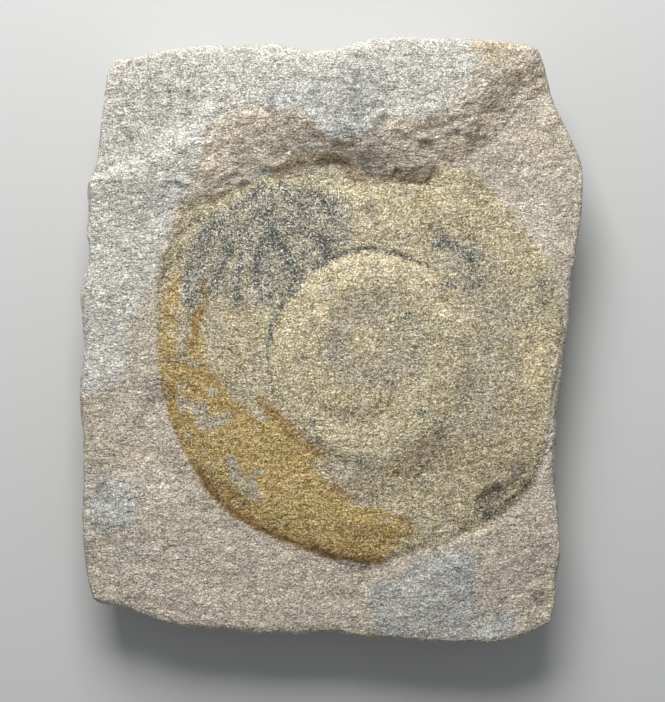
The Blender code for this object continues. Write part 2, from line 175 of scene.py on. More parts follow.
# Layers of noise, each with its size across, along and up, its strength, and its place in the noise: the
# roughness of the faces, the beds and the chips of the sides, and the lumps of the underside. The last three
# take these shares of the sides' relief.
ROUGH_LAYERS = (
    ((4.0, 4.0, 4.0), 1.0, 11.0), ((2.1, 2.1, 2.1), 0.8, 12.0), ((1.2, 1.2, 1.2), 0.6, 13.0),
)
BED_LAYERS = (((9.0, 9.0, 1.3), 1.0, 21.0), ((3.0, 3.0, 0.9), 0.5, 22.0))
CHIP_LAYERS = (((2.6, 2.6, 2.6), 1.0, 23.0), ((1.3, 1.3, 1.3), 0.6, 24.0))
UNDER_LAYERS = (((3.0, 3.0, 3.0), 1.0, 25.0),)
BED_SHARE = 0.6
CHIP_SHARE = 0.5
UNDER_SHARE = 0.5

# How far up a surface looks, from 0 level with the sides to 1, where it starts to count as the upper face
# and is fully it: for its relief, and for its stains. The same downwards for the underside.
TOP_FACING = (0.3, 0.75)
STAIN_FACING = (0.2, 0.6)
UNDER_FACING = (0.5, 0.85)

# The solid's mesh: points nearer than this are one, triangles flatter and squarer than this pair up as quads,
# and edges sharper than this keep this much of their sharpness as the mesh is refined. Rays that look for the
# solid's face start from above all of it.
MERGE_DISTANCE = 0.001
QUAD_FACE_ANGLE = math.radians(40.0)
QUAD_SHAPE_ANGLE = math.radians(60.0)
SHARP_ANGLE = math.radians(28.0)
EDGE_CREASE = 0.75
ABOVE_ALL = 100.0

# How a stain fades: over which shares of a spot's half width, and from which share of a line's.
SPOT_FADE = (0.4, 1.4)
LINE_CORE = 0.3

# How far a point stands out of the surface around it to be lightened as wear and as painted highlight, or lies
# in to be darkened as painted shade, and how many rounds of smoothing find that surface.
STANDS_OUT = (0.01, 0.12)
SMOOTHING_ROUNDS = 3

# The films that cover the whole fossil, those that fill its hollow, and where the hollow fades.
FOSSIL_OLIVE = 0.9
HOLLOW_DULL = 0.9
HOLLOW_FADE = (0.84, 1.06)

# Brown along the lower left of the margin, painted shade where the fossil's edge slopes away from the light:
# the bearings where it starts and ends and how far it fades there, and the shares of the margin's distance over
# which it comes in and goes out.
RIM_BROWN_BEARINGS = (188.0, 300.0)
RIM_BROWN_FADE = 10.0
RIM_BROWN_INNER = (0.965, 1.0)
RIM_BROWN_OUTER = (1.0, 1.015)

# The dendrites' root, from the slab's middle. Layers of streaks fan out from it: how far each layer leans,
# its streaks to a turn of one radian, its breaks along them, and the noise from which on it is dark. Then the
# soft edge of that darkness, and how far apart the layers lie in the noise.
DENDRITE_ROOT = (-13.4, 33.6)
DENDRITE_LAYERS = ((0.0, 18.0, 1.6, 0.5), (0.7, 34.0, 7.0, 0.53), (-0.7, 34.0, 7.0, 0.53))
STREAK_EDGE = (-0.08, 0.1)
DENDRITE_LAYER_PLACE = 5.0

# How far the streaks wander, and the size, the detail and the roughness of the noise that they follow. Their
# breaks go with the logarithm of the distance from the root, to which the nearest distance is added.
DENDRITE_WANDER = 0.45
DENDRITE_WANDER_SIZE = 4.0
DENDRITE_WANDER_NOISE = (3.0, 0.6)
DENDRITE_NEAREST = 2.0

# How growth goes with the streaks' darkness, as a gain and what is added, and the soft edge where it passes a
# grain's own chance.
DENDRITE_GROWTH = (0.9, 0.22)
DENDRITE_EDGE = (-0.06, 0.08)

# Grains differ more in lightness than in colour: the power of a grain's shade that multiplies its colour, on
# the matrix and on the fossil, then the strength of the grey that makes up the rest, and its shares there.
GRAIN_TINT = (0.7, 0.45)
GRAIN_VEIL = 0.48
GRAIN_VEIL_SHARE = (0.55, 1.0)

# A grain's shade from its own chance and from that of the clump it is in, before the contrast: each is a
# gain and what is added. Clumps: how densely they lie beside grains, and how far they stand out.
GRAIN_SHADE = (0.6, -0.32)
CLUMP_SHADE = (0.2, -0.1)
CLUMP_DENSITY = 0.45
CLUMP_HEIGHT = 0.8

# A stain's patches: the detail and roughness of their noise, the spread of the noise, the densities that its
# lowest and its highest patches need, and the density over which the first patches appear.
PATCH_NOISE = (3.0, 0.6)
PATCH_SPREAD = (0.3, 0.7)
PATCH_BAR = (0.22, 0.72)
PATCH_START = (0.0, 0.2)

# Films of the stone and its iron stains, from the lowest up, the brown among them partly stain and partly
# painted shade: the size of their patches and how soft they are.
FILMS = (
    ("cool", 6.0, 0.5), ("warm", 3.0, 0.4), ("blue", 2.2, 0.3), ("olive", 3.0, 0.5), ("dull", 3.0, 0.5),
    ("cream", 2.5, 0.4), ("golden", 2.5, 0.4),
)
IRON_STAINS_AND_BROWN_SHADE = (("brown", 2.0, 0.5), ("ochre", 2.2, 0.3), ("rust", 1.8, 0.5))

# Patches all over the fossil: their colour, size and strength, the detail and roughness of their noise, and
# where it turns into a patch.
FOSSIL_PATCHES = (("golden", 4.2, 0.6), ("dull", 3.1, 0.65))
FOSSIL_PATCH_NOISE = (4.0, 0.62)
FOSSIL_PATCH_EDGE = (0.48, 0.62)

# The blue-grey film that lies where the manganese is, and the clearest grains, lightened towards quartz as
# clear grains and as painted glints: the chances over which a grain turns clear, and how clear it gets.
MANGANESE_FILM = 0.7
GLINT_CHANCES = (0.86, 0.97)
GLINT_STRENGTH = 0.12

# Light and dark over the stone: the mottle's size, its noise and its range, and what crests, lightened as wear
# and as painted highlight, and hollows, darkened as painted shade, add to it. Painted shade with some grime in
# low places, and painted light on lit crests and slopes: the size of their patches, how soft they are, and what
# they multiply the stone's lightness by.
MOTTLE_SIZE = 2.5
MOTTLE_NOISE = (4.0, 0.65)
MOTTLE_EDGE = (0.3, 0.7)
MOTTLE_RANGE = (0.91, 1.20)
# Crests lighten as wear and as painted highlight; hollows darken as painted shade.
CREST_LIGHT_AND_HOLLOW_SHADE_GAINS = (("worn_lit_crest", 0.12), ("shaded_hollow", -0.15))
# The first darkens the stone as painted shade with some grime, the second lightens it as painted light.
PAINTED_SHADE_GRIME_AND_LIGHT = (("shade_and_grime", 1.4, 0.5, 0.55), ("pale", 1.4, 0.5, 1.4))

# The bump below the mesh: pits, and slanting chips that are stronger where the stone is broken. Heights are
# in grains' heights.
PIT_SIZE = 0.9
PIT_NOISE = (3.0, 0.65)
PIT_HEIGHT = 3.5
CHIP_SIZE = 1.5
CHIP_NOISE = (4.0, 0.65)
CHIP_TURN = math.radians(-35.0)
CHIP_STRETCH = (0.4, 1.0, 1.0)
CHIP_HEIGHTS = (5.0, 8.0)

# The sheen: the roughness of grains, which goes with their chance, and the level of their highlights.
ROUGHNESS_RANGE = (0.98, 0.7)
SPECULAR_LEVEL = 0.35

# The texture map: for each group of faces its two axes, its corner in the map, and its scale per millimetre.
# A face that looks further up or down than this is one of the upper face or the underside.
MAP_CELLS = (
    ((0, 1), (0.005, 0.005), 0.0069),
    ((0, 1), (0.720, 0.005), 0.0027),
    ((2, 1), (0.720, 0.345), 0.0053),
    ((2, 1), (0.840, 0.345), 0.0053),
    ((0, 2), (0.005, 0.860), 0.0034),
    ((0, 2), (0.360, 0.860), 0.0034),
)
MAP_FACING = 0.5

# The stage, in metres: half the floor's width and its roughness, how far the key light is to the right of the
# middle, and the colour of the even light.
FLOOR_HALF_WIDTH = 1.5
FLOOR_ROUGHNESS = 0.8
KEY_ACROSS = -0.05
SKY_COLOUR = (0.93, 0.96, 1.0, 1.0)

# Areas of stain, and of painted light and shade: an outline, the softness of its edge, and its strength. Spots:
# their middle, half width, half height and strength. Lines: their points, half width and strength. Outlines,
# points, middles and the halves of spots are in pixels of the photograph, and softness and half widths of lines
# in millimetres.
COOL_AREAS = (
    (((470, 30), (482, 60), (470, 82), (445, 108), (425, 118), (395, 116), (370, 136), (330, 138),
      (300, 112), (250, 105), (215, 120), (200, 150), (185, 180), (176, 205), (165, 240), (150, 290),
      (128, 320), (120, 385), (70, 395), (70, 30)), 2.0, 1.0),
)
BLUE_AREAS = (
    (((398, 575), (414, 562), (430, 556), (446, 553), (462, 551), (475, 554), (477, 575), (478, 600),
      (484, 613), (505, 612), (520, 622), (512, 645), (385, 640), (372, 622), (364, 600), (370, 586),
      (384, 580)), 1.0, 0.62),
    (((150, 205), (170, 165), (200, 140), (205, 160), (195, 190), (178, 205), (165, 235)), 1.6, 0.4),
    (((262, 80), (300, 70), (345, 70), (385, 85), (392, 108), (372, 134), (330, 140), (300, 112),
      (270, 112)), 2.4, 0.45),
    (((80, 468), (100, 466), (118, 484), (132, 500), (142, 522), (128, 534), (105, 532),
      (80, 542)), 1.2, 0.5),
)
BLUE_SPOTS = (
    (355, 92, 8, 22, 0.5), (356, 118, 8, 14, 0.8), (335, 131, 12, 8, 0.6), (312, 98, 12, 16, 0.35),
    (280, 104, 14, 8, 0.45), (385, 72, 12, 12, 0.35), (120, 178, 24, 8, 0.3), (116, 325, 14, 50, 0.25),
    (118, 500, 22, 26, 0.45), (140, 480, 14, 14, 0.3), (150, 552, 18, 12, 0.3), (125, 560, 20, 16, 0.35),
    (186, 550, 12, 7, 0.35), (150, 582, 12, 10, 0.3), (264, 174, 8, 8, 0.9), (460, 568, 16, 12, 0.5),
    (455, 582, 12, 10, 0.4), (104, 130, 6, 30, 0.2), (250, 70, 20, 10, 0.15),
)
WARM_SPOTS = (
    (492, 48, 24, 10, 0.9), (500, 62, 20, 12, 0.5), (536, 80, 14, 18, 0.7), (360, 590, 15, 22, 0.45),
    (550, 600, 9, 28, 0.6), (104, 420, 18, 40, 0.3), (466, 530, 30, 6, 0.7), (505, 510, 14, 6, 0.4),
    (365, 335, 22, 22, 0.75), (340, 352, 14, 30, 0.5), (352, 372, 22, 12, 0.45), (540, 140, 30, 30, 0.35),
    (395, 567, 14, 8, 0.6), (270, 187, 5, 5, 0.9), (132, 455, 30, 30, 0.35), (300, 590, 50, 20, 0.2),
    (340, 275, 20, 7, 0.5), (110, 85, 30, 30, 0.2), (560, 230, 8, 40, 0.3),
)
OLIVE_AREAS = (
    (((345, 168), (358, 178), (425, 182), (445, 163), (470, 170), (500, 200), (528, 236), (552, 262),
      (558, 300), (540, 330), (430, 290), (300, 190)), 1.4, 0.9),
)
CREAM_AREAS = (
    (((284, 350), (280, 318), (296, 292), (320, 266), (345, 256), (380, 252), (412, 264), (436, 276),
      (450, 300), (454, 322), (432, 320), (428, 302), (404, 288), (372, 284), (342, 290), (326, 304),
      (318, 330), (306, 352)), 1.2, 0.9),
    (((272, 330), (300, 335), (318, 370), (330, 400), (360, 428), (400, 426), (425, 400), (428, 440),
      (400, 452), (350, 456), (316, 444), (284, 414), (266, 380)), 2.2, 0.5),
    (((282, 178), (340, 175), (420, 190), (455, 172), (470, 200), (440, 232), (400, 240), (350, 205),
      (300, 195)), 2.2, 0.6),
)
CREAM_SPOTS = (
    (378, 454, 20, 6, 0.8), (395, 436, 16, 8, 0.6), (450, 268, 18, 12, 0.3), (350, 188, 20, 8, 0.7),
    (534, 372, 12, 30, 0.6), (540, 262, 12, 12, 0.7), (400, 330, 24, 30, 0.35), (300, 330, 20, 30, 0.35),
    (455, 175, 14, 8, 0.5), (428, 520, 20, 7, 0.3),
)
DULL_AREAS = (
    (((440, 240), (500, 250), (532, 290), (520, 350), (518, 400), (498, 450), (470, 480), (420, 500),
      (350, 505), (322, 462), (350, 462), (400, 462), (432, 440), (456, 400), (462, 370), (458, 310),
      (442, 280)), 2.6, 0.8),
    (((262, 300), (225, 318), (195, 335), (180, 330), (178, 260), (190, 225), (230, 195), (290, 180),
      (340, 190), (350, 240), (310, 268)), 2.5, 0.5),
    (((210, 330), (262, 330), (264, 395), (268, 428), (240, 410), (214, 398), (205, 370)), 2.0, 0.45),
)
DULL_POCKS = (
    (213, 393, 6, 6, 0.9), (180, 386, 5, 8, 0.7), (200, 410, 11, 8, 1.0), (209, 423, 16, 8, 1.0),
    (226, 417, 8, 5, 0.9), (181, 405, 7, 9, 0.9), (188, 433, 6, 4, 0.6), (236, 445, 4, 4, 0.8),
    (204, 452, 4, 4, 0.6), (212, 466, 8, 6, 0.8), (231, 462, 8, 8, 1.0), (236, 476, 9, 9, 1.0),
    (256, 472, 9, 5, 0.9), (246, 485, 14, 9, 1.0), (254, 496, 11, 6, 0.9), (297, 484, 5, 5, 0.5),
    (280, 523, 5, 4, 0.6), (318, 516, 4, 8, 0.5), (340, 520, 7, 5, 0.5), (345, 540, 4, 3, 0.4),
    (432, 536, 10, 6, 0.8), (485, 515, 11, 7, 0.8), (395, 555, 6, 4, 0.4), (262, 413, 11, 9, 0.9),
    (408, 516, 12, 6, 0.5), (414, 548, 7, 9, 0.55), (372, 558, 9, 4, 0.4), (196, 364, 9, 6, 0.6),
    (204, 426, 8, 8, 0.6), (400, 541, 7, 8, 0.5), (382, 522, 12, 5, 0.4), (318, 488, 8, 8, 0.4),
    (172, 398, 8, 5, 0.5), (196, 404, 10, 5, 0.5),
)
OCHRE_AREAS = (
    (((158, 366), (175, 362), (192, 364), (207, 372), (222, 386), (236, 402), (250, 410), (262, 404),
      (276, 412), (290, 428), (303, 442), (318, 455), (314, 462), (320, 476), (336, 486), (346, 500),
      (356, 507), (376, 508), (392, 513), (402, 524), (404, 536), (396, 550), (386, 560), (365, 568),
      (320, 556), (270, 540), (220, 512), (185, 470), (164, 420)), 1.5, 0.95),
    (((396, 516), (416, 514), (422, 528), (416, 542), (398, 552)), 1.8, 0.35),
    (((180, 262), (189, 264), (183, 276), (179, 300), (176, 330), (180, 366), (158, 366), (156, 330),
      (160, 300), (168, 278)), 1.2, 0.62),
    (((200, 280), (208, 284), (208, 304), (200, 322), (206, 344), (208, 374), (186, 372), (186, 350),
      (192, 322), (198, 300)), 1.0, 0.6),
)
RUST_LINES = (
    (((197, 482), (214, 501), (238, 523), (268, 540), (300, 551), (345, 562), (372, 562)), 3.4, 0.9),
    (((262, 402), (280, 419), (300, 440), (320, 453)), 2.0, 0.65),
    (((168, 385), (178, 425)), 1.3, 0.5),
    (((191, 373), (223, 378)), 1.8, 0.45),
    (((204, 284), (204, 300), (196, 322), (190, 350)), 1.3, 0.7),
    (((228, 486), (238, 498)), 1.4, 0.6),
    (((346, 530), (391, 535)), 3.0, 0.5),
    (((402, 520), (410, 534)), 1.8, 0.35),
    (((335, 488), (350, 500)), 1.4, 0.5),
)
# Brown, partly stain and partly painted shade: the scarp's foot and undercut, the fossil's upper-left step, the
# crevice at the lower right and the scarp's slopes.
BROWN_STAIN_AND_SHADE_LINES = (
    (((275, 172), (290, 164), (312, 160), (335, 159), (348, 166), (357, 177)), 2.0, 0.95),
    (((357, 178), (377, 176), (396, 175), (412, 178), (426, 180)), 1.4, 0.6),
    (((398, 170), (412, 176), (424, 179), (432, 168)), 1.8, 0.8),
    (((196, 206), (215, 194), (240, 190), (262, 190)), 1.8, 0.2),
    (((180, 205), (178, 222), (172, 236), (165, 252), (158, 280)), 1.5, 0.4),
    (((488, 497), (500, 490), (512, 478), (524, 468)), 2.2, 0.95),
    (((484, 522), (500, 512), (516, 498), (528, 484)), 1.6, 0.6),
    (((402, 470), (425, 450), (440, 436)), 2.6, 0.5),
    (((440, 160), (455, 150), (480, 130), (505, 100), (520, 75)), 2.4, 0.35),
)
BROWN_STAIN_AND_SHADE_AREAS = (
    (((204, 150), (240, 108), (262, 112), (290, 110), (318, 118), (330, 140), (372, 138), (392, 122),
      (420, 120), (440, 112), (480, 90), (510, 66), (530, 56), (540, 70), (515, 110), (490, 130),
      (460, 155), (430, 165), (356, 175), (340, 158), (290, 160), (262, 172), (215, 200),
      (190, 205)), 1.8, 0.2),
    (((440, 430), (500, 420), (545, 400), (545, 450), (520, 490), (480, 520), (455, 535), (430, 520),
      (440, 480)), 3.0, 0.3),
)

# Manganese: its fan over the fossil, its stems, and its dots.
MANGANESE_AREAS = (
    (((256, 190), (280, 182), (310, 184), (345, 196), (352, 215), (350, 240), (335, 262), (312, 268),
      (303, 290), (288, 300), (268, 306), (250, 300), (236, 312), (222, 300), (200, 306), (186, 310),
      (178, 290), (180, 265), (190, 240), (205, 222), (228, 205)), 1.8, 0.27),
)
MANGANESE_LINES = (
    (((268, 214), (272, 226), (274, 240)), 2.4, 0.5),
    (((274, 236), (283, 250), (291, 264), (298, 278), (293, 290)), 1.6, 0.6),
    (((293, 290), (284, 304), (276, 318), (270, 340)), 0.9, 0.4),
    (((284, 222), (300, 230), (314, 236), (326, 242)), 1.5, 0.55),
    (((318, 240), (327, 250), (320, 263)), 1.5, 0.5),
    (((326, 238), (346, 242)), 0.7, 0.6),
    (((268, 232), (262, 246), (257, 262), (256, 280), (260, 296)), 1.3, 0.6),
    (((270, 245), (269, 262), (268, 282), (270, 300)), 0.9, 0.45),
    (((252, 236), (244, 256), (238, 272), (236, 290), (238, 306)), 1.2, 0.45),
    (((262, 205), (248, 222), (236, 240), (226, 258), (216, 276), (212, 292)), 1.1, 0.45),
    (((256, 192), (240, 204), (222, 218), (206, 232), (196, 248)), 1.4, 0.35),
    (((206, 232), (204, 250), (200, 264)), 1.6, 0.35),
    (((222, 222), (224, 240), (226, 252)), 1.4, 0.35),
    (((190, 268), (186, 284), (190, 304)), 1.3, 0.55),
    (((198, 272), (198, 290), (200, 304)), 0.8, 0.45),
    (((282, 184), (286, 190)), 1.2, 0.6),
    (((262, 186), (252, 198)), 1.6, 0.45),
    (((272, 196), (270, 210)), 1.4, 0.4),
    (((286, 200), (300, 204), (310, 214)), 1.3, 0.45),
    (((300, 190), (318, 196), (336, 204), (345, 214)), 1.3, 0.4),
    (((320, 204), (336, 216), (346, 226)), 1.4, 0.4),
    (((290, 212), (312, 220), (330, 224)), 1.0, 0.35),
    (((314, 268), (330, 258), (346, 252), (362, 249), (376, 248)), 0.8, 0.5),
    (((384, 249), (400, 254), (420, 262)), 0.6, 0.4),
    (((436, 246), (448, 242), (460, 248), (470, 260)), 1.6, 0.55),
    (((284, 300), (272, 320), (267, 345), (268, 362)), 0.7, 0.25),
)
MANGANESE_SPOTS = (
    (446, 238, 12, 5, 0.3), (472, 255, 7, 10, 0.35), (448, 284, 8, 7, 0.4), (478, 280, 12, 14, 0.2),
    (545, 284, 8, 8, 0.4), (408, 316, 5, 4, 0.7), (313, 423, 4, 5, 0.7), (421, 413, 6, 4, 0.55),
    (426, 486, 10, 5, 0.4), (362, 458, 7, 5, 0.45), (372, 384, 8, 5, 0.25), (270, 390, 5, 5, 0.35),
    (432, 536, 9, 5, 0.3), (487, 516, 8, 5, 0.25), (355, 118, 5, 8, 0.35), (500, 492, 12, 6, 0.3),
    (518, 474, 8, 8, 0.35), (465, 405, 12, 8, 0.2), (335, 350, 10, 14, 0.2), (286, 248, 8, 6, 0.3),
    (460, 566, 10, 8, 0.2), (190, 92, 5, 3, 0.3), (130, 135, 4, 4, 0.2),
)

# Faint gold on the fossil; painted shade, with some grime, in grooves, crevices and low places; and painted
# light, with some paler patches, on lit crests and on the scarp.
GOLDEN_AREAS = (
    (((400, 186), (440, 184), (478, 190), (506, 225), (530, 262), (545, 290), (530, 300), (500, 262),
      (480, 232), (440, 214), (395, 205)), 2.0, 0.6),
    (((520, 330), (548, 320), (552, 380), (545, 420), (530, 440), (512, 420), (520, 380)), 1.6, 0.8),
    (((392, 436), (430, 446), (470, 440), (520, 430), (540, 440), (520, 470), (480, 490), (440, 500),
      (400, 490), (380, 476)), 2.4, 0.65),
    (((332, 388), (396, 386), (406, 400), (386, 420), (350, 424), (326, 406)), 1.6, 0.6),
    (((286, 330), (314, 326), (324, 352), (330, 380), (322, 405), (300, 396), (288, 365)), 1.4, 0.55),
    (((330, 474), (400, 488), (440, 502), (430, 522), (384, 508), (345, 492)), 1.4, 0.4),
)
GOLDEN_SPOTS = (
    (362, 335, 16, 14, 0.6), (300, 300, 14, 14, 0.4), (440, 292, 12, 16, 0.4), (350, 190, 20, 6, 0.5),
    (184, 268, 6, 14, 0.6), (250, 340, 14, 20, 0.35), (225, 360, 14, 24, 0.4), (412, 545, 18, 10, 0.6),
    (455, 405, 18, 20, 0.3), (500, 385, 20, 30, 0.35), (548, 282, 6, 12, 0.4), (222, 250, 4, 14, 0.4),
    (232, 236, 4, 14, 0.4), (240, 225, 6, 8, 0.35), (184, 242, 8, 8, 0.4), (470, 520, 18, 8, 0.7),
    (450, 530, 14, 6, 0.7), (365, 350, 20, 16, 0.5), (350, 410, 24, 8, 0.6), (420, 448, 18, 14, 0.6),
)
# Painted shade, with some grime: grooves, crevices, below the rims, the scarp's undercut, and darker patches.
SHADE_AND_GRIME_AREAS = (
    (((352, 200), (440, 204), (462, 225), (442, 246), (395, 243), (360, 240)), 2.0, 0.3),
    (((115, 62), (190, 62), (212, 90), (204, 112), (165, 150), (112, 150)), 3.0, 0.32),
    (((345, 70), (380, 64), (396, 90), (384, 122), (350, 128), (330, 112)), 2.0, 0.3),
    (((306, 386), (322, 398), (345, 404), (372, 402), (392, 388), (402, 398), (385, 416), (350, 422),
      (316, 412), (300, 398)), 2.4, 0.55),
    (((180, 220), (215, 205), (222, 240), (214, 290), (205, 340), (190, 400), (166, 390), (172, 330),
      (178, 280)), 2.4, 0.22),
    (((448, 205), (470, 210), (488, 260), (480, 300), (458, 296), (450, 250)), 2.0, 0.25),
    (((415, 430), (448, 425), (452, 455), (440, 480), (412, 478)), 1.8, 0.4),
    (((196, 450), (240, 480), (300, 510), (345, 520), (380, 540), (370, 566), (320, 552), (250, 522),
      (210, 490)), 2.0, 0.2),
    (((470, 518), (500, 500), (525, 476), (534, 484), (505, 514), (455, 534)), 1.4, 0.5),
)
SHADE_AND_GRIME_LINES = (
    (((304, 280), (318, 269), (334, 259), (352, 252), (370, 249), (388, 251), (404, 256)), 1.1, 0.55),
    (((392, 252), (404, 256), (424, 264), (438, 274)), 0.9, 0.35),
    (((482, 500), (490, 495), (500, 490)), 2.2, 0.9),
    (((478, 508), (494, 510), (508, 508), (522, 496), (533, 482), (540, 464), (545, 446)), 1.6, 0.65),
    (((455, 534), (478, 524), (495, 514)), 1.4, 0.5),
    (((316, 552), (345, 562), (368, 567), (388, 562)), 1.6, 0.7),
    (((180, 224), (196, 217), (214, 211)), 1.8, 0.35),
    (((112, 196), (140, 190), (164, 182)), 2.0, 0.25),
    (((164, 270), (174, 260), (182, 252)), 1.2, 0.5),
    (((148, 404), (160, 398), (172, 394)), 1.8, 0.6),
    (((152, 362), (170, 358), (184, 364)), 1.8, 0.35),
    (((340, 128), (354, 136), (368, 136), (382, 122)), 1.8, 0.6),
    (((284, 300), (276, 316), (270, 340), (268, 365), (274, 390)), 0.8, 0.3),
    (((274, 390), (284, 408), (300, 426), (318, 442)), 0.9, 0.45),
    (((318, 442), (345, 460), (375, 470), (405, 474), (424, 466)), 1.6, 0.4),
    (((170, 412), (178, 434), (192, 460), (212, 492), (226, 508), (256, 527)), 1.2, 0.3),
    (((396, 167), (410, 174), (428, 178)), 1.4, 0.4),
)
SHADE_AND_GRIME_SPOTS = (
    (400, 322, 12, 8, 0.4), (446, 292, 10, 14, 0.4), (472, 275, 10, 16, 0.35), (545, 295, 12, 14, 0.5),
    (270, 527, 12, 8, 0.5), (240, 502, 20, 12, 0.3), (214, 480, 18, 12, 0.35), (472, 386, 24, 12, 0.3),
    (352, 95, 10, 12, 0.3), (415, 84, 8, 14, 0.4), (540, 595, 10, 14, 0.3), (478, 230, 18, 14, 0.25),
    (432, 229, 12, 10, 0.4), (322, 186, 16, 6, 0.4), (283, 127, 5, 5, 0.5), (300, 262, 8, 10, 0.3),
    (330, 275, 10, 8, 0.3), (368, 75, 6, 10, 0.3), (232, 252, 6, 8, 0.4), (188, 392, 12, 16, 0.25),
    (137, 424, 8, 8, 0.5), (305, 345, 6, 14, 0.25), (292, 123, 6, 5, 0.6), (410, 552, 8, 6, 0.6),
    (390, 382, 8, 8, 0.5), (365, 395, 12, 6, 0.4), (162, 396, 6, 8, 0.6), (190, 440, 6, 8, 0.5),
    (540, 598, 12, 10, 0.4), (380, 628, 18, 5, 0.5), (450, 626, 24, 6, 0.4), (185, 605, 18, 8, 0.3),
    (561, 315, 6, 34, 0.4),
)
# Painted light: lips and crests that face the light, the scarp's slope that faces away from it, and paler
# patches.
PAINTED_LIGHT_AND_PALE_AREAS = (
    (((150, 165), (200, 150), (240, 140), (275, 132), (300, 138), (330, 132), (356, 152), (380, 150),
      (410, 130), (440, 118), (480, 104), (510, 92), (520, 104), (500, 122), (484, 140), (462, 158),
      (436, 168), (410, 164), (376, 164), (352, 156), (330, 154), (300, 157), (266, 166), (232, 184),
      (196, 196), (170, 196), (150, 180)), 1.6, 0.3),
    (((104, 468), (150, 456), (180, 470), (184, 500), (150, 516), (116, 522)), 2.4, 0.5),
    (((196, 142), (214, 124), (234, 108), (262, 108), (276, 120), (252, 132), (222, 140)), 1.2, 0.8),
    (((424, 148), (446, 134), (466, 132), (456, 148), (436, 160)), 1.2, 0.75),
)
PAINTED_LIGHT_AND_PALE_LINES = (
    (((98, 182), (125, 172), (150, 160), (176, 146), (196, 128), (208, 110)), 2.6, 0.65),
    (((196, 142), (222, 124)), 2.0, 0.4),
    (((282, 104), (298, 92), (312, 84)), 2.6, 0.45),
    (((272, 160), (300, 155), (330, 154), (352, 158), (358, 174)), 1.1, 0.85),
    (((392, 130), (410, 120)), 2.0, 0.5),
    (((452, 120), (474, 110), (492, 120)), 2.6, 0.55),
    (((506, 96), (528, 97), (546, 106)), 2.6, 0.4),
    (((498, 206), (520, 208), (542, 212)), 3.2, 0.35),
    (((184, 178), (200, 168), (220, 162)), 2.2, 0.4),
    (((178, 205), (178, 222), (172, 236), (163, 254)), 1.0, 0.8),
    (((464, 478), (492, 486), (516, 470)), 1.5, 0.75),
    (((408, 586), (430, 570), (452, 560)), 2.8, 0.45),
    (((400, 556), (420, 556), (445, 548), (480, 534), (512, 520)), 0.8, 0.5),
    (((310, 276), (330, 268), (352, 262), (380, 260), (410, 266), (430, 276)), 1.2, 0.3),
)
PAINTED_LIGHT_AND_PALE_SPOTS = (
    (186, 206, 5, 8, 0.4), (281, 216, 9, 9, 0.3), (341, 216, 9, 7, 0.5), (240, 282, 16, 10, 0.3),
    (259, 291, 12, 10, 0.5), (365, 344, 14, 10, 0.3), (467, 317, 11, 18, 0.35), (544, 347, 12, 6, 0.4),
    (530, 385, 10, 10, 0.35), (488, 435, 14, 10, 0.25), (260, 445, 22, 10, 0.25), (286, 462, 24, 10, 0.3),
    (330, 490, 24, 16, 0.3), (140, 360, 8, 14, 0.4), (100, 292, 14, 6, 0.4), (170, 570, 22, 8, 0.4),
    (216, 540, 22, 9, 0.35), (270, 570, 22, 12, 0.25), (490, 634, 16, 6, 0.5), (330, 310, 16, 20, 0.2),
    (415, 385, 16, 12, 0.2), (520, 300, 14, 20, 0.15), (165, 500, 10, 14, 0.3), (395, 590, 12, 8, 0.25),
    (260, 290, 10, 8, 0.4), (330, 440, 14, 8, 0.5), (350, 452, 20, 6, 0.4), (500, 484, 8, 4, 0.5),
    (100, 206, 10, 6, 0.6), (470, 590, 14, 12, 0.3), (220, 545, 30, 12, 0.25), (545, 110, 8, 20, 0.5),
    (530, 60, 24, 12, 0.3), (525, 545, 24, 16, 0.25), (320, 312, 9, 16, 0.5), (360, 276, 30, 7, 0.3),
    (468, 325, 8, 22, 0.4), (366, 522, 16, 10, 0.45), (460, 512, 10, 8, 0.6), (484, 510, 6, 5, 0.5),
    (445, 122, 10, 6, 0.5), (448, 156, 18, 8, 0.6), (105, 510, 14, 8, 0.5), (540, 245, 12, 22, 0.35),
    (540, 355, 12, 12, 0.4), (255, 545, 16, 8, 0.3), (310, 475, 24, 10, 0.35), (340, 95, 12, 10, 0.4),
    (532, 375, 12, 28, 0.45), (366, 338, 16, 14, 0.35), (235, 330, 18, 26, 0.25),
)


def smooth_step(value, low, high):
    """0 below low, 1 above high, and an eased ramp between them."""
    share = np.clip((value - low) / (high - low), 0.0, 1.0)
    return share * share * (3.0 - 2.0 * share)


def around(table, bearings):
    """Values at compass bearings in degrees, eased between a closed table's entries."""
    entries = np.array((*table, (table[0][0] + 360.0, table[0][1])))
    turned = (bearings - entries[0, 0]) % 360.0 + entries[0, 0]
    after = np.clip(np.searchsorted(entries[:, 0], turned), 1, len(entries) - 1)
    low, high = entries[after - 1], entries[after]
    return low[:, 1] + (high[:, 1] - low[:, 1]) * smooth_step(turned, low[:, 0], high[:, 0])


def on_plan(pixels):
    """Places on the plan in millimetres, from places in the photograph in pixels."""
    return np.subtract(pixels, PHOTO_ZERO) * (PIXEL_SIZE, -PIXEL_SIZE)


def distance_to_line(line, places):
    """Distance from each place to the nearest stretch of a line of points."""
    nearest = np.full(len(places), np.inf)
    for first, second in zip(line, line[1:]):
        run = np.subtract(second, first)
        share = np.clip((places - first) @ run / (run @ run), 0.0, 1.0)
        nearest = np.minimum(nearest, np.hypot(*(places - first - share[:, None] * run).T))
    return nearest


def inside(outline, places):
    """Which places lie inside a closed outline."""
    x, y = places.T
    odd = np.zeros(len(places), bool)
    for (x1, y1), (x2, y2) in zip(outline, (*outline[1:], outline[0])):
        if y1 != y2:
            odd ^= ((y1 > y) != (y2 > y)) & (x < x1 + (x2 - x1) * (y - y1) / (y2 - y1))
    return odd


